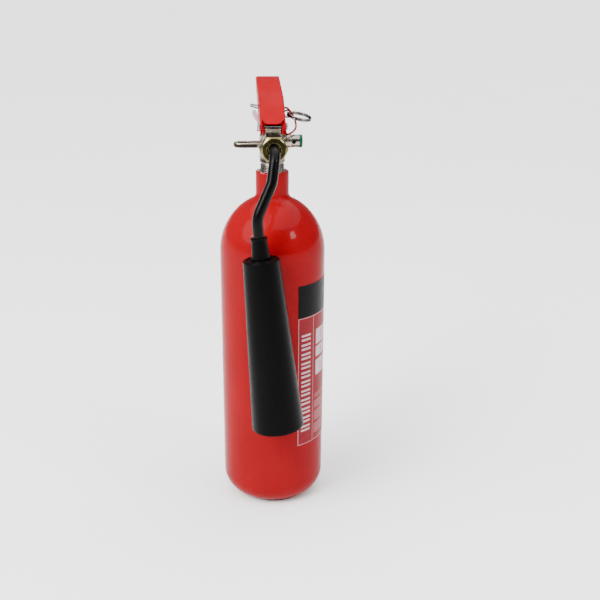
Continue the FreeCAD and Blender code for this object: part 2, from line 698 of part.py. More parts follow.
def make_carry_handle():
    """The fixed lower handle: a channel open upwards, its ears either side of the turret."""
    body = new_body("carry_handle")
    side = outline(new_sketch(body, "YZ_Plane", "handle_side"), [
        ("Dim.handle_front + 1", "Dim.handle_floor"),
        ("Dim.turret_back", "Dim.handle_floor"),
        ("Dim.handle_bend_y", "Dim.handle_bend_z"),
        ("Dim.handle_tail_y", "Dim.handle_tail_z", "Dim.handle_tail_radius"),
        ("Dim.handle_tail_y + Dim.handle_tail_radius", "Dim.handle_tail_z + Dim.handle_tail_radius"),
        ("Dim.handle_tail_y + Dim.handle_tail_radius - 1", "Dim.handle_end_top"),
        ("Dim.handle_rim_y", "Dim.handle_rim_z"),
        ("Dim.handle_flange_back + 7", "Dim.handle_rim_z + 5"),
        ("Dim.handle_flange_back", "Dim.handle_flange_top - 1.4"),
        ("Dim.handle_flange_back - 3", "Dim.handle_flange_top"),
        ("Dim.handle_flange_front + 5", "Dim.handle_flange_top"),
        ("Dim.handle_flange_front", "Dim.handle_flange_top - 2"),
        ("Dim.handle_ear_y", "Dim.handle_ear_z"),
        ("Dim.pivot_back", "Dim.pivot_height + Dim.handle_ear_radius", "Dim.handle_ear_radius"),
        ("Dim.pivot_back - Dim.handle_ear_radius", "Dim.pivot_height"),
        ("Dim.handle_front", "Dim.pivot_height - 2"),
        ("Dim.handle_front", "Dim.handle_floor + 1"),
    ])
    extrude(body, "handle_block", side, "2 * Dim.handle_half_width", both_ways=True)
    half_width, behind, above = size("handle_half_width"), size("turret_back"), size("handle_end_top")
    round_edges(body, "handle_bends", "Dim.bend_radius", lambda edge: on_side(edge, half_width)
                and edge.BoundBox.YMin > behind - 0.01 and edge.BoundBox.ZMax < above - 0.01)
    trough = outline(new_sketch(body, "YZ_Plane", "handle_trough"), [
        ("Dim.handle_front - 1", "Dim.handle_tail_z - 1"),
        ("Dim.turret_back + 0.4", "Dim.handle_tail_z - 1"),
        ("Dim.turret_back + 0.4", "Dim.handle_floor + Dim.handle_sheet"),
        ("Dim.handle_bend_y", "Dim.handle_bend_z + Dim.handle_sheet"),
        ("Dim.handle_tail_y", "Dim.handle_tail_z + Dim.handle_sheet", "Dim.handle_tail_radius - 2"),
        ("Dim.handle_tail_y + Dim.handle_tail_radius - Dim.handle_sheet",
         "Dim.handle_tail_z + Dim.handle_tail_radius"),
        ("Dim.handle_tail_y + Dim.handle_tail_radius - Dim.handle_sheet", "Dim.handle_flange_top + 5"),
        ("Dim.handle_front - 1", "Dim.handle_flange_top + 5"),
    ])
    extrude(body, "handle_hollow", trough, "2 * (Dim.handle_half_width - Dim.handle_sheet)", "Pocket",
            both_ways=True)
    pin_hole(body, "handle_pivot", "Dim.pivot_radius")
    slot = outline(new_sketch(body, "YZ_Plane", "handle_pin_slot"), [
        ("Dim.pin_slot_y - Dim.pin_slot_radius", "Dim.pin_slot_low", "Dim.pin_slot_radius"),
        ("Dim.pin_slot_y", "Dim.pin_slot_low - Dim.pin_slot_radius", "Dim.pin_slot_radius"),
        ("Dim.pin_slot_y + Dim.pin_slot_radius", "Dim.pin_slot_low"),
        ("Dim.pin_slot_y + Dim.pin_slot_radius", "Dim.pin_slot_high", "Dim.pin_slot_radius"),
        ("Dim.pin_slot_y", "Dim.pin_slot_high + Dim.pin_slot_radius", "Dim.pin_slot_radius"),
        ("Dim.pin_slot_y - Dim.pin_slot_radius", "Dim.pin_slot_high"),
    ])
    extrude(body, "handle_pin_slot_cut", slot, "4 * Dim.handle_half_width", "Pocket", both_ways=True)
    face = new_sketch(body, "YZ_Plane", "handle_roll_pin_face")
    roll = circle(face, "Dim.roll_pin_back", "Dim.roll_pin_height", "Dim.roll_pin_radius")
    extrude(body, "handle_roll_pin_cut", roll, "4 * Dim.handle_half_width", "Pocket", both_ways=True)


def make_operating_lever():
    """The upper lever: a channel open downwards that hinges on the pivot pin."""
    body = new_body("operating_lever")
    side = outline(new_sketch(body, "YZ_Plane", "lever_side"), [
        ("Dim.pivot_back - Dim.ear_radius", "Dim.pivot_height", "Dim.ear_radius"),
        ("Dim.pivot_back", "Dim.pivot_height - Dim.ear_radius", "Dim.ear_radius"),
        ("Dim.pivot_back + 0.8 * Dim.ear_radius", "Dim.pivot_height - 0.6 * Dim.ear_radius"),
        ("Dim.lever_belly_y", "Dim.lever_belly_z"),
        ("Dim.lever_waist_y", "Dim.lever_waist_z"),
        ("Dim.lever_throat_y", "Dim.lever_throat_z"),
        ("Dim.lever_tail_y", "Dim.lever_tail_z", "Dim.lever_tail_radius"),
        ("Dim.lever_end_y", "Dim.lever_end_z", "Dim.lever_end_radius"),
        ("Dim.lever_back_y", "Dim.lever_back_z"),
        ("Dim.lever_crest_y", "Dim.lever_crest_z"),
        ("Dim.lever_nose_y", "Dim.lever_nose_z", "Dim.lever_nose_radius"),
        ("Dim.lever_lip_y", "Dim.lever_lip_z"),
    ])
    extrude(body, "lever_block", side, "2 * Dim.lever_half_width", both_ways=True)
    half_width = size("lever_half_width")
    round_edges(body, "lever_bends", "Dim.bend_radius",
                lambda edge: on_side(edge, half_width) and is_on_roof(edge))
    hollow = outline(new_sketch(body, "YZ_Plane", "lever_hollow"), [
        ("Dim.lever_lip_y - 5", "Dim.handle_tail_z"),
        ("Dim.lever_end_y - Dim.lever_sheet", "Dim.handle_tail_z"),
        ("Dim.lever_end_y - Dim.lever_sheet", "Dim.lever_end_z"),
        ("Dim.lever_back_y", "Dim.lever_back_z - Dim.lever_sheet"),
        ("Dim.lever_crest_y + 0.7", "Dim.lever_crest_z - Dim.lever_sheet"),
        ("Dim.lever_nose_y + 1.4", "Dim.lever_nose_z - Dim.lever_sheet"),
        ("Dim.lever_lip_y - 5", "Dim.lever_nose_z - Dim.lever_sheet"),
    ])
    extrude(body, "lever_channel", hollow, "2 * (Dim.lever_half_width - Dim.lever_sheet)", "Pocket",
            both_ways=True)
    inside = "(Dim.lever_half_width - Dim.lever_sheet)"
    arch = outline(new_sketch(body, "XY_Plane", "nose_arch_face", "Dim.lever_crest_z"), [
        (f"-{inside}", "Dim.nose_arch_y", "Dim.nose_arch_radius"),
        (inside, "Dim.nose_arch_y"),
        (inside, "Dim.lever_lip_y - 5"),
        (f"-{inside}", "Dim.lever_lip_y - 5"),
    ])
    extrude(body, "nose_arch", arch, "Dim.lever_crest_z - Dim.handle_tail_z", "Pocket")
    window = outline(new_sketch(body, "YZ_Plane", "lever_pin_window"), [
        ("Dim.pin_window_front", "Dim.pin_window_bottom + Dim.pin_window_corner", "Dim.pin_window_corner"),
        ("Dim.pin_window_front + Dim.pin_window_corner", "Dim.pin_window_bottom"),
        ("Dim.pin_window_back - Dim.pin_window_corner", "Dim.pin_window_bottom", "Dim.pin_window_corner"),
        ("Dim.pin_window_back", "Dim.pin_window_bottom + Dim.pin_window_corner"),
        ("Dim.pin_window_back", "Dim.pin_window_top - Dim.pin_window_corner", "Dim.pin_window_corner"),
        ("Dim.pin_window_back - Dim.pin_window_corner", "Dim.pin_window_top"),
        ("Dim.pin_window_front + Dim.pin_window_corner", "Dim.pin_window_top", "Dim.pin_window_corner"),
        ("Dim.pin_window_front", "Dim.pin_window_top - Dim.pin_window_corner"),
    ])
    extrude(body, "lever_pin_window_cut", window, "4 * Dim.lever_half_width", "Pocket", both_ways=True)
    pin_hole(body, "lever_pivot", "Dim.pivot_radius + Dim.pivot_clearance")


def make_pins():
    """The headed pivot pin and the roll pin that locks the handle to the turret."""
    turned("pivot_pin", [
        ("0", "-Dim.pivot_tail_reach"),
        ("Dim.pivot_rivet", "-Dim.pivot_tail_reach"),
        ("Dim.pivot_tail", "0.6 - Dim.pivot_tail_reach"),
        ("Dim.pivot_tail", "-Dim.lever_half_width - 0.2"),
        ("Dim.pivot_radius", "-Dim.lever_half_width - 0.2"),
        ("Dim.pivot_radius", "Dim.lever_half_width + 0.2"),
        ("Dim.pivot_head", "Dim.lever_half_width + 0.2"),
        ("Dim.pivot_head", "Dim.pivot_head_reach - 0.9"),
        ("Dim.pivot_rivet", "Dim.pivot_head_reach"),
        ("0", "Dim.pivot_head_reach"),
    ], Placement(Vector(0, size("pivot_back"), size("pivot_height")), SIDE_AXIS))
    turned("handle_roll_pin", [
        ("0.6", "-Dim.handle_half_width"),
        ("Dim.roll_pin_radius", "-Dim.handle_half_width"),
        ("Dim.roll_pin_radius", "Dim.handle_half_width"),
        ("0.6", "Dim.handle_half_width"),
    ], Placement(Vector(0, size("roll_pin_back"), size("roll_pin_height")), SIDE_AXIS))


def make_safety_pin():
    """A wire doubled back on itself: an eye at one end, two legs through the levers."""
    leg = size("pin_leg_offset")
    eye = size("eye_radius")
    fillet = size("eye_fillet")
    turn_back = -math.sqrt((eye + fillet) ** 2 - (leg + fillet) ** 2)
    share = eye / (eye + fillet)
    meet = Vector(turn_back * share, 0, (leg + fillet) * share)
    bend = Vector(turn_back, 0, leg + fillet)
    middle = bend + ((meet - bend).normalize() + Vector(0, 0, -1)).normalize() * fillet

    def mirrored(point):
        return Vector(point.x, point.y, -point.z)

    start = Vector(turn_back, 0, leg)
    tip = Vector(-size("pin_length"), 0, leg)
    route = Part.Wire([
        Part.LineSegment(tip, start).toShape(),
        Part.Arc(start, middle, meet).toShape(),
        Part.Arc(meet, Vector(eye, 0, 0), mirrored(meet)).toShape(),
        Part.Arc(mirrored(meet), mirrored(middle), mirrored(start)).toShape(),
        Part.LineSegment(mirrored(start), mirrored(tip)).toShape(),
    ])
    swept_node("safety_pin", route, size("pin_wire"), placement=PIN_FRAME)


def make_pull_ring():
    """A split ring of two turns, through the eye of the safety pin."""
    wire = size("ring_wire")
    pitch = 2.1 * wire
    coil = Part.makeHelix(pitch, 2 * pitch, size("ring_radius"))
    ring = doc.addObject("Part::Feature", "pull_ring")
    ring.Shape = swept_solid(Part.Wire(coil.Edges), wire)
    shift = Placement(Vector(size("ring_radius"), 0, -pitch), Rotation())
    add_node(ring, "pull_ring", PIN_FRAME * shift)


def arcs_for(points, share=0.45):
    """The largest arc at each inner point that its two runs leave room for."""
    radii = []
    for before, corner, after in zip(points, points[1:], points[2:]):
        half_turn = (math.pi - (before - corner).getAngle(after - corner)) / 2
        shorter = min((before - corner).Length, (after - corner).Length)
        radii.append(share * shorter / math.tan(half_turn))
    return radii


def make_seal():
    """The thin plastic tamper seal: strap to the pin, lock bar round the turret, tail with a tag."""
    swept_node("seal_strap", rounded_route(SEAL_STRAP, arcs_for(SEAL_STRAP)), size("strap_wire"))
    for label, points in (("seal_lock", SEAL_BAR), ("seal_tail", SEAL_TAIL)):
        swept_node(label, rounded_route(points, arcs_for(points)), size("seal_wire"))
    turn = Rotation(Vector(1, 0, 0), Vector(0, 1, 0), TAG_TIP - SEAL_TAIL[-1], "ZXY")
    body = new_body("seal_tag", Placement(SEAL_TAIL[-1], turn))
    sketch = outline(new_sketch(body, "XZ_Plane", "tag_outline", "-Dim.tag_thickness / 2"), [
        ("-Dim.tag_half_width / 3", "Dim.tag_gap"),
        ("Dim.tag_half_width / 3", "Dim.tag_gap"),
        ("Dim.tag_half_width", "Dim.tag_length / 2"),
        ("Dim.tag_half_width", "Dim.tag_length - Dim.tag_corner", "Dim.tag_corner"),
        ("Dim.tag_half_width - Dim.tag_corner", "Dim.tag_length"),
        ("Dim.tag_corner - Dim.tag_half_width", "Dim.tag_length", "Dim.tag_corner"),
        ("-Dim.tag_half_width", "Dim.tag_length - Dim.tag_corner"),
        ("-Dim.tag_half_width", "Dim.tag_length / 2"),
    ])
    extrude(body, "tag_pad", sketch, "Dim.tag_thickness")


def make_outlet_nut():
    """The hexagon union nut that holds the swivelling tube on the outlet boss."""
    place = Placement(Vector(0, 0, size("outlet_height")), OUTLET_AXIS)
    body = new_body("outlet_nut", place)
    radius = "Dim.nut_across_flats / sqrt(3)"
    clear = "(Dim.nut_across_flats / sqrt(3) + 1)"
    corners = [(f"{radius} * cos({60 * step})", f"{radius} * sin({60 * step})") for step in range(6)]
    hexagon = outline(new_sketch(body, "XY_Plane", "nut_hexagon", "Dim.nut_back"), corners)
    extrude(body, "nut_prism", hexagon, "Dim.nut_front - Dim.nut_back")
    revolve(body, "nut_bevel", [
        ("Dim.nut_bevel_radius", "Dim.nut_front + 0.1"),
        (clear, f"Dim.nut_front - Dim.nut_bevel_slope * ({clear} - Dim.nut_bevel_radius)"),
        (clear, "Dim.nut_front + 0.1"),
    ], "Groove")
    revolve(body, "nut_bore", [
        ("0", "Dim.nut_back - 1"),
        ("Dim.outlet_boss", "Dim.nut_back - 1"),
        ("Dim.outlet_boss", "Dim.nut_front - Dim.nut_lip"),
        ("Dim.nut_hole", "Dim.nut_front - Dim.nut_lip"),
        ("Dim.nut_hole", "Dim.nut_front + 1"),
        ("0", "Dim.nut_front + 1"),
    ], "Groove")


def make_discharge_tube():
    """The bent tube from the outlet to the horn, with the collar that the nut retains."""
    outlet = Vector(0, 0, size("outlet_height"))
    axis = (HORN_TOP - HORN_MOUTH).normalize()
    route = [
        outlet + Vector(0, -30, 0),
        outlet + Vector(0, -60.5, 0),
        Vector(-4, -71, 396),
        HORN_TOP + axis * 44,
        HORN_TOP + axis * 8,
    ]
    wire = rounded_route(route, [14.0, 40.0, 30.0])
    swept_node("discharge_tube", wire, size("tube_radius"), size("tube_bore"))
    place = Placement(outlet, OUTLET_AXIS)
    turned("tube_collar", [
        ("Dim.tube_radius", "Dim.collar_back"),
        ("Dim.collar_radius", "Dim.collar_back"),
        ("Dim.collar_radius", "Dim.nut_front - Dim.nut_lip - 0.1"),
        ("Dim.tube_radius", "Dim.nut_front - Dim.nut_lip - 0.1"),
    ], place)
    turned("swivel_washer", [
        ("Dim.tube_radius + 0.4", "Dim.outlet_reach + 0.1"),
        ("Dim.collar_radius", "Dim.outlet_reach + 0.1"),
        ("Dim.collar_radius", "Dim.collar_back - 0.1"),
        ("Dim.tube_radius + 0.4", "Dim.collar_back - 0.1"),
    ], place)


def make_horn():
    """The double-walled plastic horn, its ferrule on the tube and the brass jet inside."""
    slope = "(Dim.horn_mouth_radius - Dim.horn_top_radius) / Dim.horn_length"
    turned("horn_ferrule", [
        ("Dim.tube_radius", "0"),
        ("Dim.ferrule_bottom_radius", "0"),
        ("Dim.ferrule_top_radius", "Dim.ferrule_length - 3"),
        ("Dim.ferrule_top_radius + Dim.ferrule_lip", "Dim.ferrule_length - 2.6"),
        ("Dim.ferrule_top_radius + Dim.ferrule_lip", "Dim.ferrule_length - 0.6"),
        ("Dim.ferrule_top_radius", "Dim.ferrule_length"),
        ("Dim.tube_radius", "Dim.ferrule_length"),
    ], HORN_FRAME)
    inner_top = "(Dim.horn_top_radius - Dim.horn_wall)"
    inner_mouth = "(Dim.horn_mouth_radius - Dim.horn_wall)"
    ridges = []
    for middle in ("Dim.ridge_outer", "Dim.ridge_inner"):
        ridges.append((f"{middle} + Dim.ridge_half_width", "0"))
        ridges.append((f"{middle} + Dim.ridge_half_width / 2", "Dim.ridge_height"))
        ridges.append((f"{middle} - Dim.ridge_half_width / 2", "Dim.ridge_height"))
        ridges.append((f"{middle} - Dim.ridge_half_width", "0"))
    turned("horn_shell", [
        ("Dim.ferrule_bottom_radius - 2", "-Dim.horn_top_wall"),
        (inner_top, "-Dim.horn_top_wall"),
        (inner_mouth, "-Dim.horn_length"),
        ("Dim.horn_mouth_radius - Dim.horn_lip", "-Dim.horn_length"),
        ("Dim.horn_mouth_radius", "Dim.horn_lip - Dim.horn_length"),
        (f"Dim.horn_top_radius + Dim.horn_edge * {slope}", "-Dim.horn_edge", "Dim.horn_edge"),
        ("Dim.horn_top_radius - Dim.horn_edge + 0.1", "0"),
        *ridges,
        ("Dim.ferrule_bottom_radius", "0"),
        ("Dim.ferrule_bottom_radius - 2", "0"),
    ], HORN_FRAME)
    inside = f"({inner_mouth} - Dim.liner_clearance)"
    turned("horn_liner", [
        ("Dim.liner_bore", "-Dim.liner_top"),
        (f"{inner_top} - Dim.liner_gap", "-Dim.liner_top"),
        (inside, "2.5 - Dim.horn_length"),
        (inside, "0.3 - Dim.horn_length"),
        (f"{inside} - Dim.liner_wall", "0.3 - Dim.horn_length"),
        (f"{inner_top} - Dim.liner_gap - Dim.liner_wall", "-Dim.liner_top - Dim.liner_wall"),
        ("Dim.liner_bore", "-Dim.liner_top - Dim.liner_wall"),
    ], HORN_FRAME)
    turned("horn_jet", [
        ("Dim.jet_bore", "-Dim.jet_reach"),
        ("Dim.jet_tip", "-Dim.jet_reach"),
        ("Dim.jet_radius", "4 - Dim.jet_reach"),
        ("Dim.jet_radius", "-Dim.horn_top_wall - 0.2"),
        ("Dim.tube_radius - 0.1", "-Dim.horn_top_wall - 0.2"),
        ("Dim.tube_radius - 0.1", "7.9"),
        ("Dim.jet_bore", "7.9"),
    ], HORN_FRAME)


def check_and_write():
    """Stops on any failed object, then writes each sub-part to its own file."""
    doc.recompute()
    failed = [item.Name for item in doc.Objects if {"Invalid", "Error"} & set(item.State)]
    if failed:
        raise RuntimeError("failed objects: " + ", ".join(failed))
    for node in NODES:
        shape = node.Shape
        if shape.isNull() or not shape.isValid() or len(shape.Solids) != 1:
            raise RuntimeError(f"{node.Label}: bad shape with {len(shape.Solids)} solids")
    os.makedirs("parts", exist_ok=True)
    for node in NODES:
        node.Shape.exportStep(f"parts/{node.Label}.step")
        print(f"{node.Label:20s} {node.Shape.Volume / 1000:9.2f} cm3")


make_cylinder()
make_label()
make_valve_body()
make_stem_parts()
make_burst_parts()
make_carry_handle()
make_operating_lever()
make_pins()
make_safety_pin()
make_pull_ring()
make_seal()
make_outlet_nut()
make_discharge_tube()
make_horn()
check_and_write()
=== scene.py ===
import json
import math

import bmesh
import bpy
from mathutils import Matrix, Vector


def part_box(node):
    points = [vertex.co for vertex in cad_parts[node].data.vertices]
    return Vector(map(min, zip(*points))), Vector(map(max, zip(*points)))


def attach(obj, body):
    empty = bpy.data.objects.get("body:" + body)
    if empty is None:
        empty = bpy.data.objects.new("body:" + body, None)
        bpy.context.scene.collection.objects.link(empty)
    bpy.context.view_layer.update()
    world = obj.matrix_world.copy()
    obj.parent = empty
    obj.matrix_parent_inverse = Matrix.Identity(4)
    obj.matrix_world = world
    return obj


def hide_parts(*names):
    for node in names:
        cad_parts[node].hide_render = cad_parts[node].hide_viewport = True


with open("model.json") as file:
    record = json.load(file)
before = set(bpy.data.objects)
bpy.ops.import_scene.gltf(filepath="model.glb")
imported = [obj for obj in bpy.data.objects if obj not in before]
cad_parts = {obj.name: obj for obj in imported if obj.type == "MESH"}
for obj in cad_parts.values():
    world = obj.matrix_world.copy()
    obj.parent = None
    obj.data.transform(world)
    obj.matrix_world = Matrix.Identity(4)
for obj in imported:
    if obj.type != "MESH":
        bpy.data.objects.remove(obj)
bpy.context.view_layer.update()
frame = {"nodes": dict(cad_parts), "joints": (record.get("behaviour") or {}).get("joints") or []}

# The object's sizes are in millimetres, in the model's own frame: +Z up, outlet towards -Y, bursting disc
# towards +X.  The stage's are in metres.
MM = 0.001
BODY_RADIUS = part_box("cylinder_shell")[1].x / MM
NECK_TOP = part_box("cylinder_shell")[1].z / MM
LABEL_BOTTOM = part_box("label_sheet")[0].z / MM
LABEL_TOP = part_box("label_sheet")[1].z / MM
DOME_START = 304.2
KNUCKLE_RADIUS = 67.0
KNUCKLE_ANGLE = 46.4
NUT_HEIGHT = 424.5
BURST_HEIGHT = 427.3
FORGING_FOOT = 405.2
HORN_TOP = Vector((-16.4, -82.0, 317.2))
HORN_MOUTH = Vector((0.8, -89.2, 126.2))

X_AXIS = Vector((1, 0, 0))
Y_AXIS = Vector((0, 1, 0))
Z_AXIS = Vector((0, 0, 1))


# ---------------------------------------------------------------- shapes


def frame_at(origin, along):
    """A matrix that puts a piece turned about its own Z axis at a place and direction, in metres."""
    turn = Z_AXIS.rotation_difference(Vector(along)).to_matrix().to_4x4()
    return Matrix.Translation(Vector(origin) * MM) @ turn


def rounded(outline, steps=5):
    """Rounds the corners of a closed outline.  A corner is (across, up) or (across, up, radius)."""
    points = []
    for index, corner in enumerate(outline):
        here = Vector(corner[:2])
        if len(corner) == 2:
            points.append(here)
            continue
        back = Vector(outline[index - 1][:2]) - here
        ahead = Vector(outline[(index + 1) % len(outline)][:2]) - here
        half = back.angle(ahead) / 2
        reach = min(corner[2] / math.tan(half), 0.49 * back.length, 0.49 * ahead.length)
        radius = reach * math.tan(half)
        middle = here + (back.normalized() + ahead.normalized()).normalized() * radius / math.sin(half)
        first = here + back.normalized() * reach - middle
        last = here + ahead.normalized() * reach - middle
        sweep = first.angle_signed(last)
        for step in range(steps + 1):
            turn = Matrix.Rotation(-sweep * step / steps, 2)
            points.append(middle + turn @ first)
    return points


def arc(centre, radius, start, end, steps):
    """Points along a circle's arc, angles in degrees."""
    angles = [math.radians(start + (end - start) * step / steps) for step in range(steps + 1)]
    return [Vector((centre[0] + radius * math.cos(a), centre[1] + radius * math.sin(a))) for a in angles]


def new_piece(name, mesh, material, body, nodes=(), smooth=40):
    """Links a finished mesh as a piece that rides on a body and stands for CAD nodes."""
    piece = bpy.data.objects.new(name, mesh)
    bpy.context.scene.collection.objects.link(piece)
    for entry in material if isinstance(material, list) else [material]:
        mesh.materials.append(entry)
    mesh.polygons.foreach_set("use_smooth", [True] * len(mesh.polygons))
    mesh.set_sharp_from_angle(angle=math.radians(smooth))
    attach(piece, body)
    if nodes:
        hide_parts(*nodes)
    return piece


def close_mesh(bm, name):
    """Welds, points the faces outwards and turns a bmesh into a mesh."""
    bmesh.ops.remove_doubles(bm, verts=bm.verts, dist=1e-7)
    bmesh.ops.dissolve_degenerate(bm, edges=bm.edges, dist=1e-8)
    bmesh.ops.recalc_face_normals(bm, faces=bm.faces)
    mesh = bpy.data.meshes.new(name)
    bm.to_mesh(mesh)
    bm.free()
    return mesh


def lathe(name, outline, place=None, segments=96):
    """A solid of revolution from a closed outline of (radius, height)."""
    bm = bmesh.new()
    rings = []
    for step in range(segments):
        angle = 2 * math.pi * step / segments
        across = Vector((math.cos(angle), math.sin(angle), 0))
        rings.append([bm.verts.new((across * p[0] + Z_AXIS * p[1]) * MM) for p in outline])
    for step in range(segments):
        here, following = rings[step], rings[(step + 1) % segments]
        for index in range(len(outline)):
            after = (index + 1) % len(outline)
            bm.faces.new((here[index], following[index], following[after], here[after]))
    if place is not None:
        bm.transform(place)
    return close_mesh(bm, name)


def sweep(name, points, radius, sides=16, squash=1.0, up=Z_AXIS, place=None, taper=None):
    """A round or flattened bar along a line of points, with closed ends."""
    bm = bmesh.new()
    rings = []
    side = None
    for index, point in enumerate(points):
        before = points[max(index - 1, 0)]
        after = points[min(index + 1, len(points) - 1)]
        along = (after - before).normalized()
        side = along.cross(up) if side is None else side - along * side.dot(along)
        side.normalize()
        lift = side.cross(along)
        size = radius * (taper(index / (len(points) - 1)) if taper else 1.0)
        ring = []
        for step in range(sides):
            angle = 2 * math.pi * step / sides
            offset = side * math.cos(angle) + lift * math.sin(angle) * squash
            ring.append(bm.verts.new((point + offset * size) * MM))
        rings.append(ring)
    for here, following in zip(rings, rings[1:]):
        for step in range(sides):
            after = (step + 1) % sides
            bm.faces.new((here[step], here[after], following[after], following[step]))
    bm.faces.new(rings[0])
    bm.faces.new(rings[-1])
    if place is not None:
        bm.transform(place)
    return close_mesh(bm, name)


def rounded_route(points, radii, steps=14):
    """Straight runs joined by tangent arcs, as points."""
    line = [points[0]]
    for before, corner, after, radius in zip(points, points[1:], points[2:], radii):
        back = (before - corner).normalized()
        ahead = (after - corner).normalized()
        half = (math.pi - back.angle(ahead)) / 2
        middle = corner + (back + ahead).normalized() * radius / math.cos(half)
        first = corner + back * radius * math.tan(half) - middle
        axis = back.cross(ahead).normalized()
        for step in range(steps + 1):
            line.append(middle + Matrix.Rotation(-2 * half * step / steps, 3, axis) @ first)
    return line + [points[-1]]


def smooth_line(points, steps=10):
    """A smooth line through points, by Catmull-Rom."""
    padded = [2 * points[0] - points[1], *points, 2 * points[-1] - points[-2]]
    line = []
    for a, b, c, d in zip(padded, padded[1:], padded[2:], padded[3:]):
        for step in range(steps):
            t = step / steps
            line.append(0.5 * (2 * b + (c - a) * t + (2 * a - 5 * b + 4 * c - d) * t ** 2
                               + (3 * b - 3 * c + d - a) * t ** 3))
    return line + [points[-1]]


def cad_mesh(node):
    """A clean copy of a CAD node's mesh: welded, with flat faces whole."""
    bm = bmesh.new()
    bm.from_mesh(frame["nodes"][node].data)
    bmesh.ops.remove_doubles(bm, verts=bm.verts, dist=2e-6)
    bmesh.ops.dissolve_limit(bm, angle_limit=math.radians(0.5), verts=bm.verts, edges=bm.edges)
    mesh = bpy.data.meshes.new(node + "_fine")
    for face in bm.faces:
        face.material_index = 0
    bm.to_mesh(mesh)
    bm.free()
    return mesh


def with_broken_edges(piece, width, segments=2):
    """Gives every sharp edge a small round."""
    bevel = piece.modifiers.new("edges", "BEVEL")
    bevel.width = width * MM
    bevel.segments = segments
    bevel.limit_method = "ANGLE"
    bevel.angle_limit = math.radians(35)


def baked(piece):
    """A mesh with a piece's modifiers worked into it."""
    graph = bpy.context.evaluated_depsgraph_get()
    return bpy.data.meshes.new_from_object(piece.evaluated_get(graph))


# ---------------------------------------------------------------- materials


class Shader:
    """A node material with helpers for the textures that the surfaces here share."""

    def __init__(self, name, metallic=0.0, specular=0.5, coat=0.0, coat_roughness=0.05):
        self.material = bpy.data.materials.new(name)
        self.material.use_nodes = True
        self.nodes = self.material.node_tree.nodes
        self.links = self.material.node_tree.links
        self.principled = self.nodes["Principled BSDF"]
        self.principled.inputs["Metallic"].default_value = metallic
        self.principled.inputs["Specular IOR Level"].default_value = specular
        self.principled.inputs["Coat Weight"].default_value = coat
        self.principled.inputs["Coat Roughness"].default_value = coat_roughness
        self.place = self.nodes.new("ShaderNodeTexCoord").outputs["Object"]

    def stretched(self, scale):
        """The object's coordinates, stretched along its axes."""
        mapping = self.nodes.new("ShaderNodeMapping")
        mapping.inputs["Scale"].default_value = scale
        self.links.new(self.place, mapping.inputs["Vector"])
        return mapping.outputs["Vector"]

    def noise(self, scale, detail=3.0, rough=0.5, vector=None):
        """Noise of so many features a metre."""
        node = self.nodes.new("ShaderNodeTexNoise")
        node.inputs["Scale"].default_value = scale
        node.inputs["Detail"].default_value = detail
        node.inputs["Roughness"].default_value = rough
        self.links.new(vector or self.place, node.inputs["Vector"])
        return node.outputs["Fac"]

    def spread(self, value, low, high, start=0.3, end=0.7):
        """Maps a texture's range to two numbers."""
        node = self.nodes.new("ShaderNodeMapRange")
        for name, number in zip(("From Min", "From Max", "To Min", "To Max"), (start, end, low, high)):
            node.inputs[name].default_value = number
        self.links.new(value, node.inputs["Value"])
        return node.outputs["Result"]

    def mix(self, factor, first, second):
        """Mixes two colours, either of them a number triple or a socket."""
        node = self.nodes.new("ShaderNodeMix")
        node.data_type = "RGBA"
        self.links.new(factor, node.inputs["Factor"])
        for socket, colour in ((node.inputs[6], first), (node.inputs[7], second)):
            if isinstance(colour, tuple):
                socket.default_value = (*colour, 1.0)
            else:
                self.links.new(colour, socket)
        return node.outputs[2]

    def along(self, axis="Z"):
        """One of the object's coordinates, in metres."""
        node = self.nodes.new("ShaderNodeSeparateXYZ")
        self.links.new(self.place, node.inputs["Vector"])
        return node.outputs[axis]

    def facing_up(self):
        """How far the surface faces upwards, from -1 to 1."""
        node = self.nodes.new("ShaderNodeSeparateXYZ")
        self.links.new(self.nodes.new("ShaderNodeNewGeometry").outputs["Normal"], node.inputs["Vector"])
        return node.outputs["Z"]

    def times(self, first, second):
        """The product of two sockets."""
        node = self.nodes.new("ShaderNodeMath")
        node.operation = "MULTIPLY"
        self.links.new(first, node.inputs[0])
        self.links.new(second, node.inputs[1])
        return node.outputs[0]

    def edge(self, width):
        """How near a spot is to a sharp edge, from 0 to 1, over a width in millimetres."""
        soft = self.nodes.new("ShaderNodeBevel")
        soft.samples = 4
        soft.inputs["Radius"].default_value = width * MM
        facing = self.nodes.new("ShaderNodeVectorMath")
        facing.operation = "DOT_PRODUCT"
        self.links.new(soft.outputs["Normal"], facing.inputs[0])
        self.links.new(self.nodes.new("ShaderNodeNewGeometry").outputs["Normal"], facing.inputs[1])
        return self.spread(facing.outputs["Value"], 1.0, 0.0, 0.80, 0.97)

    def bump(self, value, depth, strength):
        """A bump of so many millimetres."""
        node = self.nodes.new("ShaderNodeBump")
        node.inputs["Distance"].default_value = depth * MM
        node.inputs["Strength"].default_value = strength
        self.links.new(value, node.inputs["Height"])
        return node.outputs["Normal"]

    def finish(self, colour, roughness, normal=None):
        """Wires colour, roughness and normal to the shader."""
        self.links.new(colour, self.principled.inputs["Base Color"])
        self.links.new(roughness, self.principled.inputs["Roughness"])
        if normal is not None:
            self.links.new(normal, self.principled.inputs["Normal"])
        return self.material


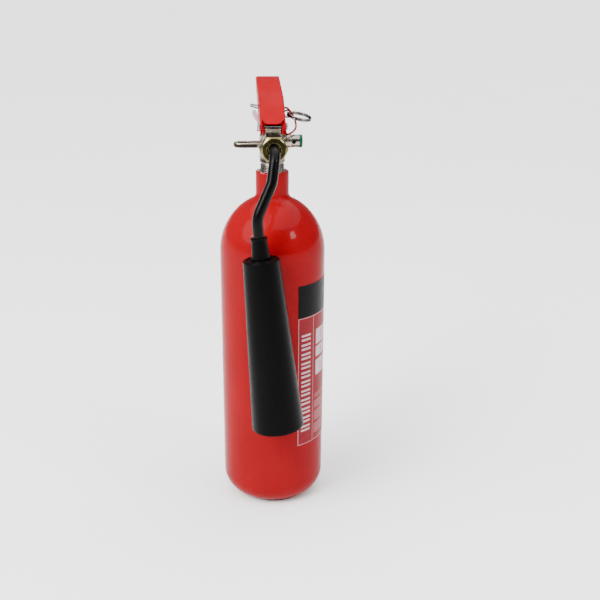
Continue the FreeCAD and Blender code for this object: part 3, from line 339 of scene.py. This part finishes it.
def enamel(name, light, dark, rim_height):
    """Gloss enamel with a faint orange peel, and bare metal breaking through above a height."""
    shader = Shader(name, specular=0.02, coat=0.09, coat_roughness=0.04)
    colour = shader.mix(shader.spread(shader.noise(14.0, 4.0), 0.0, 1.0), dark, light)
    roughness = shader.spread(shader.noise(60.0, 4.0), 0.17, 0.27)
    edge = shader.spread(shader.along(), 0.0, 1.0, (rim_height - 0.9) * MM, (rim_height - 0.2) * MM)
    chips = shader.spread(shader.noise(300.0, 5.0, 0.7), 0.0, 1.0, 0.53, 0.60)
    colour = shader.mix(shader.times(edge, chips), colour, (0.36, 0.34, 0.32))
    peel = shader.bump(shader.noise(520.0, 2.0), 0.02, 0.25)
    return shader.finish(colour, roughness, peel)


def powder_coat(name, light, dark, worn):
    """Thick lever paint, worn a little paler along its edges."""
    shader = Shader(name, specular=0.01, coat=0.03, coat_roughness=0.12)
    tone = shader.mix(shader.spread(shader.noise(45.0, 4.0), 0.0, 1.0), dark, light)
    edges = shader.times(shader.edge(0.5), shader.spread(shader.noise(260.0, 4.0), 0.0, 0.6))
    colour = shader.mix(edges, tone, worn)
    roughness = shader.spread(shader.noise(110.0, 4.0), 0.28, 0.42)
    return shader.finish(colour, roughness, shader.bump(shader.noise(900.0, 2.0), 0.03, 0.35))


def metal(name, light, dark, smoothest, roughest, grain=(1, 1, 1), edge=None):
    """Bare or plated metal with brushed grain, cloudy discolouring and, if asked, bright worn edges."""
    shader = Shader(name, metallic=1.0)
    cloud = shader.spread(shader.noise(130.0, 5.0, 0.6), 0.0, 1.0)
    colour = shader.mix(cloud, dark, light)
    if edge is not None:
        colour = shader.mix(shader.edge(0.7), colour, edge)
    streaks = shader.noise(700.0, 3.0, 0.6, shader.stretched(grain))
    roughness = shader.spread(streaks, smoothest, roughest)
    return shader.finish(colour, roughness, shader.bump(streaks, 0.01, 0.4))


def casting(name, light, dark, painted_side_shade):
    """Plated forging: soft orange peel from the die, and painted shade on sideways faces low down and on the
    lug's sides.
    """
    shader = Shader(name, metallic=1.0)
    hollow = shader.spread(shader.noise(90.0, 5.0, 0.6), 0.0, 1.0, 0.35, 0.65)
    colour = shader.mix(hollow, dark, light)
    # Painted shade: faces turned sideways, low down and on the lug, are darkened to stand in for the dark
    # surroundings they reflect.
    side = shader.spread(shader.facing_up(), 1.0, 0.0, 0.25, 0.65)
    low_down = shader.spread(shader.along(), 1.0, 0.0, 408.5 * MM, 412.5 * MM)
    on_lug = shader.spread(shader.along("X"), 1.0, 0.0, -17.5 * MM, -15.0 * MM)
    for zone in (low_down, on_lug):
        colour = shader.mix(shader.times(side, zone), colour, painted_side_shade)
    roughness = shader.spread(shader.noise(300.0, 4.0), 0.22, 0.42)
    rough_skin = shader.bump(shader.noise(650.0, 4.0, 0.6), 0.06, 0.5)
    return shader.finish(colour, roughness, rough_skin)


def moulded(name, light, dark, smoothest, roughest, grain=1400.0, depth=0.03, coat=0.0, specular=0.3):
    """Moulded plastic or rubber with a fine grain and faint flow marks."""
    shader = Shader(name, specular=specular, coat=coat, coat_roughness=0.2)
    flow = shader.noise(18.0, 4.0, 0.5, shader.stretched((3, 3, 1)))
    colour = shader.mix(shader.spread(flow, 0.0, 1.0), dark, light)
    roughness = shader.spread(shader.noise(220.0, 4.0), smoothest, roughest)
    return shader.finish(colour, roughness, shader.bump(shader.noise(grain, 3.0), depth, 0.5))


def print_ink(name, light, dark):
    """Ink on vinyl film: nearly even, with a faint mottle and film texture."""
    shader = Shader(name, specular=0.05, coat=0.02, coat_roughness=0.15)
    colour = shader.mix(shader.spread(shader.noise(180.0, 4.0), 0.0, 1.0), dark, light)
    roughness = shader.spread(shader.noise(90.0, 3.0), 0.30, 0.40)
    return shader.finish(colour, roughness, shader.bump(shader.noise(1600.0, 2.0), 0.008, 0.3))


RED = enamel("red_enamel", (0.222, 0.0005, 0.0038), (0.182, 0.0004, 0.0029), NECK_TOP)
LEVER_RED = powder_coat("lever_red", (0.255, 0.0006, 0.0050), (0.215, 0.0005, 0.0040), (0.32, 0.012, 0.016))
# The last colour is the painted shade of the forging's sideways faces.
PLATED = casting("plated_forging", (0.40, 0.35, 0.28), (0.22, 0.185, 0.14), (0.024, 0.018, 0.014))
THREAD = metal("plated_thread", (0.38, 0.36, 0.33), (0.18, 0.17, 0.15), 0.12, 0.25, (1, 1, 8))
TURNED = metal("turned_plating", (0.34, 0.32, 0.28), (0.20, 0.185, 0.155), 0.16, 0.30, (8, 1, 1))
# Near-black brass whose darkness paints the shade on the nut's sides and face; its edges wear bright.
SHADED_NUT_BRASS = metal("nut_brass_painted_shade", (0.036, 0.028, 0.009), (0.014, 0.011, 0.004), 0.28, 0.44, (1, 10, 1),
                  edge=(0.55, 0.47, 0.25))
BEVEL_BRASS = metal("turned_bevel", (0.19, 0.155, 0.07), (0.09, 0.073, 0.032), 0.14, 0.28, (1, 10, 1),
                    edge=(0.60, 0.53, 0.31))
STEEL = metal("zinc_steel", (0.22, 0.22, 0.22), (0.11, 0.11, 0.11), 0.12, 0.26, (1, 8, 8))
BRIGHT_WIRE = metal("bright_wire", (0.26, 0.26, 0.26), (0.012, 0.012, 0.012), 0.03, 0.10)
COPPER = metal("copper_foil", (0.80, 0.42, 0.28), (0.62, 0.32, 0.20), 0.2, 0.35)
ALLOY = metal("drawn_alloy", (0.80, 0.80, 0.82), (0.66, 0.66, 0.68), 0.25, 0.4, (8, 8, 1))
BLACK_TUBE = moulded("black_tube", (0.0014, 0.0014, 0.0014), (0.0007, 0.0007, 0.0007), 0.22, 0.34,
                     1100.0, 0.02, 0.02, 0.07)
HORN_BLACK = moulded("horn_black", (0.0010, 0.0010, 0.0010), (0.0005, 0.0005, 0.0005), 0.30, 0.42,
                     1300.0, 0.03, 0.0, 0.04)
RUBBER = moulded("rubber", (0.035, 0.035, 0.035), (0.02, 0.02, 0.02), 0.6, 0.8)
NYLON = moulded("nylon", (0.86, 0.86, 0.80), (0.74, 0.74, 0.68), 0.4, 0.55)
GREEN = moulded("green_cap", (0.002, 0.075, 0.032), (0.001, 0.045, 0.018), 0.22, 0.36,
                900.0, 0.02, 0.05, 0.15)
SEAL_RED = moulded("seal_red", (0.26, 0.001, 0.020), (0.20, 0.001, 0.014), 0.25, 0.4,
                   900.0, 0.02, 0.05, 0.15)
SEAL_PINK = moulded("seal_pink", (0.52, 0.32, 0.44), (0.44, 0.26, 0.37), 0.3, 0.45,
                    900.0, 0.02, 0.05, 0.2)
INK_RED = print_ink("label_red", (0.19, 0.010, 0.016), (0.165, 0.009, 0.014))
INK_BLACK = print_ink("label_black", (0.0016, 0.0016, 0.0016), (0.0010, 0.0010, 0.0010))
INK_WHITE = print_ink("label_white", (0.48, 0.36, 0.39), (0.41, 0.30, 0.33))
INK_PINK = print_ink("label_line", (0.40, 0.16, 0.17), (0.34, 0.13, 0.14))
INK_GREY = print_ink("label_grey", (0.40, 0.42, 0.46), (0.32, 0.34, 0.38))


# ---------------------------------------------------------------- cylinder and label


def make_cylinder():
    """The enamelled bottle."""
    wall = 6.5
    foot, foot_inside = BODY_RADIUS - 33.0, BODY_RADIUS - 39.5
    dish, dish_height = 75.4, 5.0
    neck_fillet, fillet_across = 8.5, 27.0
    neck_edge, bore = 1.5, 13.55
    bend = math.radians(KNUCKLE_ANGLE)
    knuckle = arc((BODY_RADIUS - KNUCKLE_RADIUS, DOME_START), KNUCKLE_RADIUS, 0.0, KNUCKLE_ANGLE, 24)
    crown = knuckle[-1].x / math.cos(bend)
    crown_z = knuckle[-1].y - crown * math.sin(bend)
    top = math.degrees(math.acos(fillet_across / (crown + neck_fillet)))
    fillet_z = crown_z + math.sqrt((crown + neck_fillet) ** 2 - fillet_across ** 2)
    outline = [
        *arc((0.0, dish_height - dish), dish, 90.0, 69.0, 10),
        Vector((27.4, 0.0)),
        *arc((BODY_RADIUS - foot, foot), foot, -90.0, 0.0, 20),
        Vector((BODY_RADIUS, 100.0)),
        Vector((BODY_RADIUS, 200.0)),
        *knuckle,
        *arc((0.0, crown_z), crown, KNUCKLE_ANGLE, top, 16)[1:],
        *arc((fillet_across, fillet_z), neck_fillet, top - 180.0, -180.0, 12)[1:],
        *arc((17.0, NECK_TOP - neck_edge), neck_edge, 0.0, 90.0, 6),
        Vector((13.9, NECK_TOP)),
        Vector((bore, NECK_TOP - 0.5)),
        Vector((bore, 352.8)),
        *arc((0.0, DOME_START), BODY_RADIUS - wall, 75.0, 0.0, 16),
        *arc((33.0, 33.0), foot_inside, 0.0, -90.0, 8),
        Vector((0.0, 13.0)),
    ]
    new_piece("bottle", lathe("bottle", outline, segments=192), RED, "cylinder", ["cylinder_shell"], 50)


LABEL_EDGE = 64.5
LABEL_INKS = [INK_RED, INK_BLACK, INK_WHITE, INK_PINK, INK_GREY]


def label_layout():
    """The print as rectangles: (left, right, bottom, top, ink), angles in degrees, later ones on top."""
    red, black, white, line, grey = range(5)
    bottom, top = LABEL_BOTTOM, LABEL_TOP
    band = bottom + 159.0
    rule = 1.1
    blocks = [(-LABEL_EDGE, LABEL_EDGE, bottom, top, red)]
    blocks.append((-LABEL_EDGE, LABEL_EDGE, band, top, black))
    for left in (-LABEL_EDGE, LABEL_EDGE - rule):
        blocks.append((left, left + rule, bottom, band, line))
    blocks.append((-LABEL_EDGE, LABEL_EDGE, bottom, bottom + rule, line))
    blocks.append((-LABEL_EDGE, LABEL_EDGE, band - rule, band, line))
    for side in (-1, 1):
        column = 42.5 * side
        blocks.append((column - 0.4, column + 0.4, bottom, band, line))
        for step in range(11):
            low = bottom + 17.0 + 11.4 * step
            ends = sorted((60.0 * side, 47.0 * side))
            for bar in (low, low + 5.0):
                blocks.append((*ends, bar, bar + 2.4, white))
    panels = ((83.0, 102.0), (106.0, 119.0), (121.5, 140.0))
    for low, high in ((bottom + low, bottom + high) for low, high in panels):
        for step in range(4):
            left = -37.5 + 19.2 * step
            blocks.append((left, left + 17.4, low, high, white))
            blocks.append((left + 4.5, left + 8.5, low + 3.0, low + 7.0, grey))
            blocks.append((left + 10.0, left + 13.0, low + 4.0, high - 4.0, line))
    for low in (bottom + 55.0, bottom + 58.0):
        blocks.append((-39.0, 39.0, low, low + 0.9, line))
    for step in range(13):
        low = bottom + 9.0 + 3.3 * step
        if step % 5 != 4:
            blocks.append((-39.5, 36.0 - 6.0 * (step % 4), low, low + 1.4, line))
    return blocks


def cuts(values, widest):
    """Sorted cut lines at every value, with more between where they lie too far apart."""
    lines = []
    ordered = sorted(set(round(value, 4) for value in values))
    for low, high in zip(ordered, ordered[1:]):
        count = max(1, math.ceil((high - low) / widest))
        lines += [low + (high - low) * step / count for step in range(count)]
    return lines + [ordered[-1]]


def make_label():
    """The printed film: a curved sheet whose faces are the printed blocks."""
    blocks = label_layout()
    across = cuts([edge for block in blocks for edge in block[:2]], 2.0)
    up = cuts([edge for block in blocks for edge in block[2:4]], 20.0)
    near, far = BODY_RADIUS + 0.06, BODY_RADIUS + 0.28

    def spot(angle, height, radius):
        turn = math.radians(angle)
        return Vector((radius * math.cos(turn), radius * math.sin(turn), height)) * MM

    bm = bmesh.new()
    front = [[bm.verts.new(spot(a, z, far)) for z in up] for a in across]
    back = [[bm.verts.new(spot(a, z, near)) for z in up] for a in across]
    for i in range(len(across) - 1):
        for j in range(len(up) - 1):
            a, z = (across[i] + across[i + 1]) / 2, (up[j] + up[j + 1]) / 2
            ink = [block[4] for block in blocks if block[0] < a < block[1] and block[2] < z < block[3]][-1]
            face = bm.faces.new((front[i][j], front[i + 1][j], front[i + 1][j + 1], front[i][j + 1]))
            face.material_index = ink
            bm.faces.new((back[i][j], back[i][j + 1], back[i + 1][j + 1], back[i + 1][j]))
    loop = [(i, 0) for i in range(len(across))]
    loop += [(len(across) - 1, j) for j in range(1, len(up))]
    loop += [(i, len(up) - 1) for i in range(len(across) - 2, -1, -1)]
    loop += [(0, j) for j in range(len(up) - 2, 0, -1)]
    for (i, j), (next_i, next_j) in zip(loop, loop[1:] + loop[:1]):
        bm.faces.new((front[i][j], back[i][j], back[next_i][next_j], front[next_i][next_j]))
    new_piece("label", close_mesh(bm, "label"), LABEL_INKS, "cylinder", ["label_sheet"])


# ---------------------------------------------------------------- valve


def make_forging():
    """The valve forging above its thread, its edges softened as a die leaves them."""
    bm = bmesh.new()
    bm.from_mesh(frame["nodes"]["valve_body"].data)
    bmesh.ops.remove_doubles(bm, verts=bm.verts, dist=2e-6)
    geometry = [*bm.verts, *bm.edges, *bm.faces]
    cut = bmesh.ops.bisect_plane(bm, geom=geometry, plane_co=(0, 0, FORGING_FOOT * MM), plane_no=Z_AXIS,
                                 clear_inner=True)
    rim = [item for item in cut["geom_cut"] if isinstance(item, bmesh.types.BMEdge)]
    bmesh.ops.holes_fill(bm, edges=rim)
    mesh = bpy.data.meshes.new("forging")
    bm.to_mesh(mesh)
    bm.free()
    piece = bpy.data.objects.new("forging_source", mesh)
    bpy.context.scene.collection.objects.link(piece)
    remesh = piece.modifiers.new("skin", "REMESH")
    remesh.mode = "VOXEL"
    remesh.voxel_size = 0.42 * MM
    soften = piece.modifiers.new("soften", "SMOOTH")
    soften.factor = 0.6
    soften.iterations = 7
    thin = piece.modifiers.new("thin", "DECIMATE")
    thin.ratio = 0.35
    mesh = baked(piece)
    bpy.data.objects.remove(piece)
    new_piece("forging", mesh, PLATED, "cylinder", ["valve_body"], 180)


def make_thread():
    """The taper thread between the forging and the neck, with rounded crests and roots."""
    pitch, turns, per_turn = 1.81, 15, 6
    bore, root, middle, depth = 8.1, 12.4, 12.95, 0.5
    low, high, shoulder = 376.0, 405.0, 405.4
    outline = [Vector((bore, low)), Vector((root, low))]
    for step in range(turns * per_turn + 1):
        wave = math.cos(2 * math.pi * step / per_turn)
        outline.append(Vector((middle - depth * wave, low + pitch * step / per_turn)))
    outline += [Vector((root, high)), Vector((13.9, shoulder)), Vector((bore, shoulder))]
    new_piece("stem_thread", lathe("stem_thread", outline), THREAD, "cylinder", ["valve_body"], 60)


def make_nut():
    """The outlet's union nut: sides and face in a near-black brass that paints their shade, the turned bevel
    in a lighter brass.
    """
    mesh = cad_mesh("outlet_nut")
    piece = new_piece("union_nut", mesh, [SHADED_NUT_BRASS, BEVEL_BRASS], "cylinder", ["outlet_nut"], 30)
    # Faces sloping towards the outlet and away from the axis (the bevel) take the lighter brass; the rest
    # keep the brass painted dark as shade.
    for face in mesh.polygons:
        slope = -face.normal.y
        out_from_axis = math.hypot(face.center.x, face.center.z - NUT_HEIGHT * MM)
        face.material_index = int(0.2 < slope < 0.95 and out_from_axis > 12 * MM)
    with_broken_edges(piece, 0.35)


def make_burst_outlet():
    """The bursting-disc plug, a dark fill that paints the shade inside its vent, and its green cap."""
    plug = new_piece("burst_outlet", cad_mesh("burst_plug"), TURNED, "cylinder", ["burst_plug"], 30)
    with_broken_edges(plug, 0.5, 3)
    place = frame_at((0, 0, BURST_HEIGHT), X_AXIS)
    outline = rounded([(0.0, 20.8), (2.85, 20.8, 0.3), (2.85, 28.4, 0.3), (0.0, 28.4)])
    # A dark rubber fill inside the vent bore paints the shade of the hole.
    new_piece("vent_shade_fill", lathe("vent_shade_fill", outline, place, 32), RUBBER, "cylinder", ["burst_plug"])
    outline = rounded([(0.0, 29.5), (7.05, 29.5, 0.4), (7.05, 33.15, 0.9), (3.2, 33.15, 0.3),
                       (2.8, 32.5, 0.3), (0.0, 32.5)])
    new_piece("green_cap", lathe("green_cap", outline, place, 64), GREEN, "cylinder", ["burst_plug_cap"])


def make_levers():
    """The two red channels."""
    handle = new_piece("lower_grip", cad_mesh("carry_handle"), LEVER_RED, "cylinder", ["carry_handle"], 30)
    with_broken_edges(handle, 0.5, 3)
    lever = new_piece("upper_grip", cad_mesh("operating_lever"), LEVER_RED, "lever", ["operating_lever"], 30)
    with_broken_edges(lever, 0.5, 3)


def make_pivot():
    """The pivot pin with its domed head and swaged end."""
    place = frame_at((0, -16.0, 446.0), X_AXIS)
    outline = rounded([(0.0, -15.6), (3.3, -15.5, 0.9), (3.4, -14.0, 0.2), (2.5, -14.0), (2.5, 14.0),
                       (3.8, 14.0, 0.2), (3.7, 15.8, 1.2), (0.0, 15.9)])
    new_piece("pivot", lathe("pivot", outline, place, 48), STEEL, "cylinder", ["pivot_pin"])


# ---------------------------------------------------------------- safety pin, ring and seal


def pin_frame():
    """The safety pin's own frame, from its slide and the ring's hinge."""
    joints = {joint["name"]: joint for joint in frame["joints"]}
    along = Vector(joints["pin_slide"]["axis"]).normalized()
    swing = Vector(joints["ring_hinge"]["axis"]).normalized()
    lift = along.cross(swing)
    turn = Matrix((along, swing, lift)).transposed().to_4x4()
    return Matrix.Translation(Vector(joints["ring_hinge"]["pos_m"])) @ turn


def flat_arc(centre, radius, start, end, steps=12):
    """An arc in the pin's own XZ plane, angles in degrees."""
    return [Vector((point.x, 0, point.y)) for point in arc(centre, radius, start, end, steps)]


def make_pin():
    """The doubled wire of the safety pin."""
    leg, eye, fillet = 1.5, 4.0, 3.0
    back = -math.sqrt((eye + fillet) ** 2 - (leg + fillet) ** 2)
    lean = math.degrees(math.atan2(leg + fillet, back))
    line = [Vector((-42.4, 0, 0.95)), Vector((-39.0, 0, 1.1)), Vector((-34.0, 0, leg))]
    line += flat_arc((back, leg + fillet), fillet, -90.0, lean - 180.0)
    line += flat_arc((0, 0), eye, lean, -lean, 40)
    line += flat_arc((back, -leg - fillet), fillet, 180.0 - lean, 90.0)
    line += [Vector((-34.0, 0, -leg)), Vector((-39.0, 0, -1.1)), Vector((-42.4, 0, -0.95))]
    mesh = sweep("pin_wire", line, 0.9, 14, up=Y_AXIS, place=pin_frame())
    new_piece("pin_wire", mesh, STEEL, "pin", ["safety_pin"], 60)


def make_ring():
    """The split ring: two turns of wire."""
    radius, wire, turns, steps = 13.2, 0.95, 2, 72
    line = []
    for step in range(turns * steps + 1):
        angle = 2 * math.pi * step / steps
        height = 2.1 * wire * (step / steps - 1)
        line.append(Vector((radius - radius * math.cos(angle), radius * math.sin(angle), height)))
    mesh = sweep("split_ring", line, wire, 14, place=pin_frame())
    new_piece("split_ring", mesh, BRIGHT_WIRE, "ring", ["pull_ring"], 60)


def tag_width(share):
    """The tag's width along its length, as a share of the widest: a narrow root and a round tip."""
    root = min(0.35 + 1.6 * share, 1.0)
    tip = max(1.0 - max(share - 0.75, 0) ** 2 / 0.07, 0.05)
    return root * math.sqrt(tip)


def make_seal():
    """The tamper seal: strap, lock bar, and loose tail with its tag."""
    strap = [Vector(p) for p in ((16.2, 28.4, 459.3), (18.3, 22.4, 459.6), (22.6, 20.4, 454.6),
                                 (25.7, 21.3, 448.8), (27.0, 17.1, 444.5), (26.7, 10.1, 441.0),
                                 (24.6, 2.5, 438.7), (20.6, -5.4, 437.2), (15.8, -10.4, 436.2))]
    bar = [Vector(p) for p in ((15.4, -7.6, 436.2), (15.8, 15.8, 436.2), (-15.8, 15.8, 436.2),
                               (-15.7, 12.6, 437.0))]
    tail = [Vector(p) for p in ((-15.7, 11.2, 438.5), (-15.3, 7.5, 442.0), (-15.3, 5.5, 446.0),
                                (-15.5, 5.0, 448.0))]
    tip = Vector((-20.1, 9.0, 460.0))
    strap_radius, bar_radius, tail_radius, tag_half_width = 1.14, 0.78, 0.76, 2.65
    mesh = sweep("strap", smooth_line(strap), strap_radius, 12)
    new_piece("strap", mesh, SEAL_RED, "pin", ["seal_strap"], 60)
    mesh = sweep("lock_bar", rounded_route(bar, [3.0, 2.5]), bar_radius, 12)
    new_piece("lock_bar", mesh, SEAL_RED, "cylinder", ["seal_lock"], 60)
    mesh = sweep("tail", smooth_line(tail), tail_radius, 12, squash=0.7)
    new_piece("tail", mesh, SEAL_PINK, "cylinder", ["seal_tail"], 60)
    line = [tail[-1].lerp(tip, step / 12) for step in range(13)]
    mesh = sweep("tag", line, tag_half_width, 16, squash=0.17, up=Y_AXIS, taper=tag_width)
    new_piece("tag", mesh, SEAL_PINK, "cylinder", ["seal_tag"], 60)


# ---------------------------------------------------------------- tube and horn


TUBE_RADIUS = 5.8


def make_tube():
    """The bent discharge tube."""
    axis = (HORN_TOP - HORN_MOUTH).normalized()
    route = [Vector((0, -30.0, NUT_HEIGHT)), Vector((0, -60.5, NUT_HEIGHT)), Vector((-4, -71, 396)),
             HORN_TOP + axis * 44.0, HORN_TOP + axis * 8.0]
    mesh = sweep("bent_tube", rounded_route(route, [14.0, 40.0, 30.0]), TUBE_RADIUS, 40)
    new_piece("bent_tube", mesh, BLACK_TUBE, "horn", ["discharge_tube"], 60)


def make_horn():
    """The ferrule and the two walls of the horn."""
    place = frame_at(HORN_TOP, HORN_TOP - HORN_MOUTH)
    ferrule = rounded([(TUBE_RADIUS, -0.5), (10.1, -0.5), (10.1, 0.0), (8.35, 21.0, 0.6), (9.0, 21.5, 0.3),
                       (9.0, 23.4, 0.5), (8.3, 24.0, 0.3), (TUBE_RADIUS, 24.0)])
    new_piece("ferrule", lathe("ferrule", ferrule, place), HORN_BLACK, "horn", ["horn_ferrule"], 35)
    rim, length = 28.75, 192.0
    slope = (28.8 - 19.5) / length
    shell = rounded([
        (8.1, -3.0), (17.5, -3.0), (26.8, -length), (rim, -length, 0.5), (rim, -188.5, 0.3),
        (rim - 4.0 * slope, -186.5, 0.3), (19.55, -1.6, 0.3), (19.4, 0.0, 1.1), (17.4, 0.0, 0.2),
        (17.1, 0.7, 0.3), (16.2, 0.7, 0.3), (15.9, 0.0, 0.2), (12.4, 0.0, 0.2), (12.1, 0.8, 0.3),
        (11.2, 0.8, 0.3), (10.9, 0.0, 0.2), (8.1, 0.0),
    ])
    mesh = lathe("horn_outer", shell, place, 128)
    new_piece("horn_outer", mesh, HORN_BLACK, "horn", ["horn_shell"], 35)
    liner = rounded([
        (7.5, -16.0), (15.1, -16.0), (26.7, -189.5), (26.7, -191.7, 0.3), (25.4, -191.7, 0.5),
        (13.7, -17.4), (7.5, -17.4),
    ])
    mesh = lathe("horn_inner", liner, place, 128)
    new_piece("horn_inner", mesh, HORN_BLACK, "horn", ["horn_liner"], 35)


# ---------------------------------------------------------------- inner pieces


INNER = {
    "stem_gland": TURNED, "stem_o_ring": RUBBER, "spring_carrier": BEVEL_BRASS, "dip_tube": ALLOY,
    "burst_disc_washer": NYLON, "burst_disc": COPPER, "handle_roll_pin": STEEL,
    "swivel_washer": RUBBER, "valve_stem": TURNED, "seat_seal": NYLON, "stem_spring": STEEL,
    "tube_collar": SHADED_NUT_BRASS, "horn_jet": BEVEL_BRASS,
}


def paint_inner_pieces():
    """Gives the small and hidden CAD pieces their materials."""
    for node, material in INNER.items():
        mesh = frame["nodes"][node].data
        mesh.materials.clear()
        mesh.materials.append(material)


# ---------------------------------------------------------------- stage


CAMERA_TURN = 3.0
CAMERA_DISTANCE = 1003.5
CAMERA_HEIGHT = 605.3
CAMERA_YAW = 1.819
CAMERA_PITCH = 19.882
CAMERA_ROLL = 0.459
FOCAL_LENGTH = 55.0


def make_camera():
    """The camera, in front of the outlet and looking down."""
    data = bpy.data.cameras.new("camera")
    data.lens = FOCAL_LENGTH
    data.sensor_width = 36.0
    camera = bpy.data.objects.new("camera", data)
    bpy.context.scene.collection.objects.link(camera)
    round_object = Matrix.Rotation(math.radians(-CAMERA_TURN), 4, "Z")
    place = Matrix.Translation(Vector((0, -CAMERA_DISTANCE, CAMERA_HEIGHT)) * MM)
    yaw = Matrix.Rotation(math.radians(-CAMERA_YAW), 4, "Z")
    pitch = Matrix.Rotation(math.radians(90.0 - CAMERA_PITCH), 4, "X")
    roll = Matrix.Rotation(math.radians(CAMERA_ROLL), 4, "Z")
    camera.matrix_world = round_object @ place @ yaw @ pitch @ roll
    bpy.context.scene.camera = camera


def make_light(name, place, aim, size, power):
    """A square softbox aimed at a point."""
    data = bpy.data.lights.new(name, "AREA")
    data.shape = "RECTANGLE"
    data.size, data.size_y = size
    data.energy = power
    lamp = bpy.data.objects.new(name, data)
    bpy.context.scene.collection.objects.link(lamp)
    lamp.location = place
    lamp.rotation_euler = (Vector(aim) - Vector(place)).to_track_quat("-Z", "Y").to_euler()


def make_sun(name, towards, angle, strength):
    """A wide, even light from a direction, its angle across in degrees."""
    data = bpy.data.lights.new(name, "SUN")
    data.angle = math.radians(angle)
    data.energy = strength
    lamp = bpy.data.objects.new(name, data)
    bpy.context.scene.collection.objects.link(lamp)
    lamp.rotation_euler = Vector(towards).to_track_quat("Z", "Y").to_euler()


def stage_sheet(name, material, half, place=Matrix.Identity(4)):
    """A flat sheet of the stage, so far across each way from its middle."""
    bm = bmesh.new()
    bmesh.ops.create_grid(bm, x_segments=8, y_segments=8, size=1.0, matrix=Matrix.Diagonal((*half, 1, 1)))
    bm.transform(place)
    mesh = bpy.data.meshes.new(name)
    bm.to_mesh(mesh)
    bm.free()
    mesh.materials.append(material)
    sheet = bpy.data.objects.new(name, mesh)
    bpy.context.scene.collection.objects.link(sheet)
    return sheet


def make_floor():
    """A pale floor without a horizon."""
    shader = Shader("pale_floor", specular=0.2)
    cloudy = shader.spread(shader.noise(0.8, 3.0), 0.0, 1.0)
    colour = shader.mix(cloudy, (0.92, 0.92, 0.92), (0.94, 0.94, 0.94))
    roughness = shader.spread(shader.noise(5.0), 0.6, 0.75)
    stage_sheet("floor", shader.finish(colour, roughness), (40.0, 40.0))


def make_flag():
    """A dark cloth behind the camera, there only for bright metal to reflect."""
    shader = Shader("flag_cloth", specular=0.1)
    weave = shader.noise(300.0, 2.0)
    colour = shader.mix(shader.spread(weave, 0.0, 1.0), (0.006, 0.006, 0.006), (0.012, 0.012, 0.012))
    cloth = shader.finish(colour, shader.spread(weave, 0.8, 0.95))
    upright = Matrix.Translation((0, -1.35, 0.95)) @ Matrix.Rotation(math.radians(90.0), 4, "X")
    flag = stage_sheet("flag", cloth, (1.32, 0.6), upright)
    flag.visible_camera = False
    flag.visible_shadow = False


def make_lights():
    """Two softboxes and two wide, even lights."""
    middle = (0, 0, 0.25)
    make_light("key_softbox", (-1.3, -1.3, 1.7), middle, (0.8, 0.8), 60.0)
    make_light("fill_softbox", (1.5, -1.2, 1.5), middle, (0.45, 0.45), 20.0)
    make_sun("front_light", (-0.9, -0.5, 0.9), 50.0, 3.6)
    make_sun("top_light", (0.1, 0.1, 1.0), 90.0, 5.2)


def make_sky():
    """An even sky, which gives a weak light and is seen as a bright studio background."""
    light, seen = 0.45, 2.2
    world = bpy.data.worlds.new("studio")
    bpy.context.scene.world = world
    world.use_nodes = True
    nodes, links = world.node_tree.nodes, world.node_tree.links
    background = nodes["Background"]
    background.inputs["Color"].default_value = (1.0, 0.985, 0.975, 1.0)
    ray = nodes.new("ShaderNodeLightPath")
    strength = nodes.new("ShaderNodeMapRange")
    strength.inputs["To Min"].default_value = light
    strength.inputs["To Max"].default_value = seen
    links.new(ray.outputs["Is Camera Ray"], strength.inputs["Value"])
    links.new(strength.outputs["Result"], background.inputs["Strength"])



make_camera()
make_floor()
make_flag()
make_lights()
make_sky()
make_cylinder()
make_label()
make_forging()
make_thread()
make_nut()
make_burst_outlet()
make_levers()
make_pivot()
make_pin()
make_ring()
make_seal()
make_tube()
make_horn()
paint_inner_pieces()

bpy.context.view_layer.update()
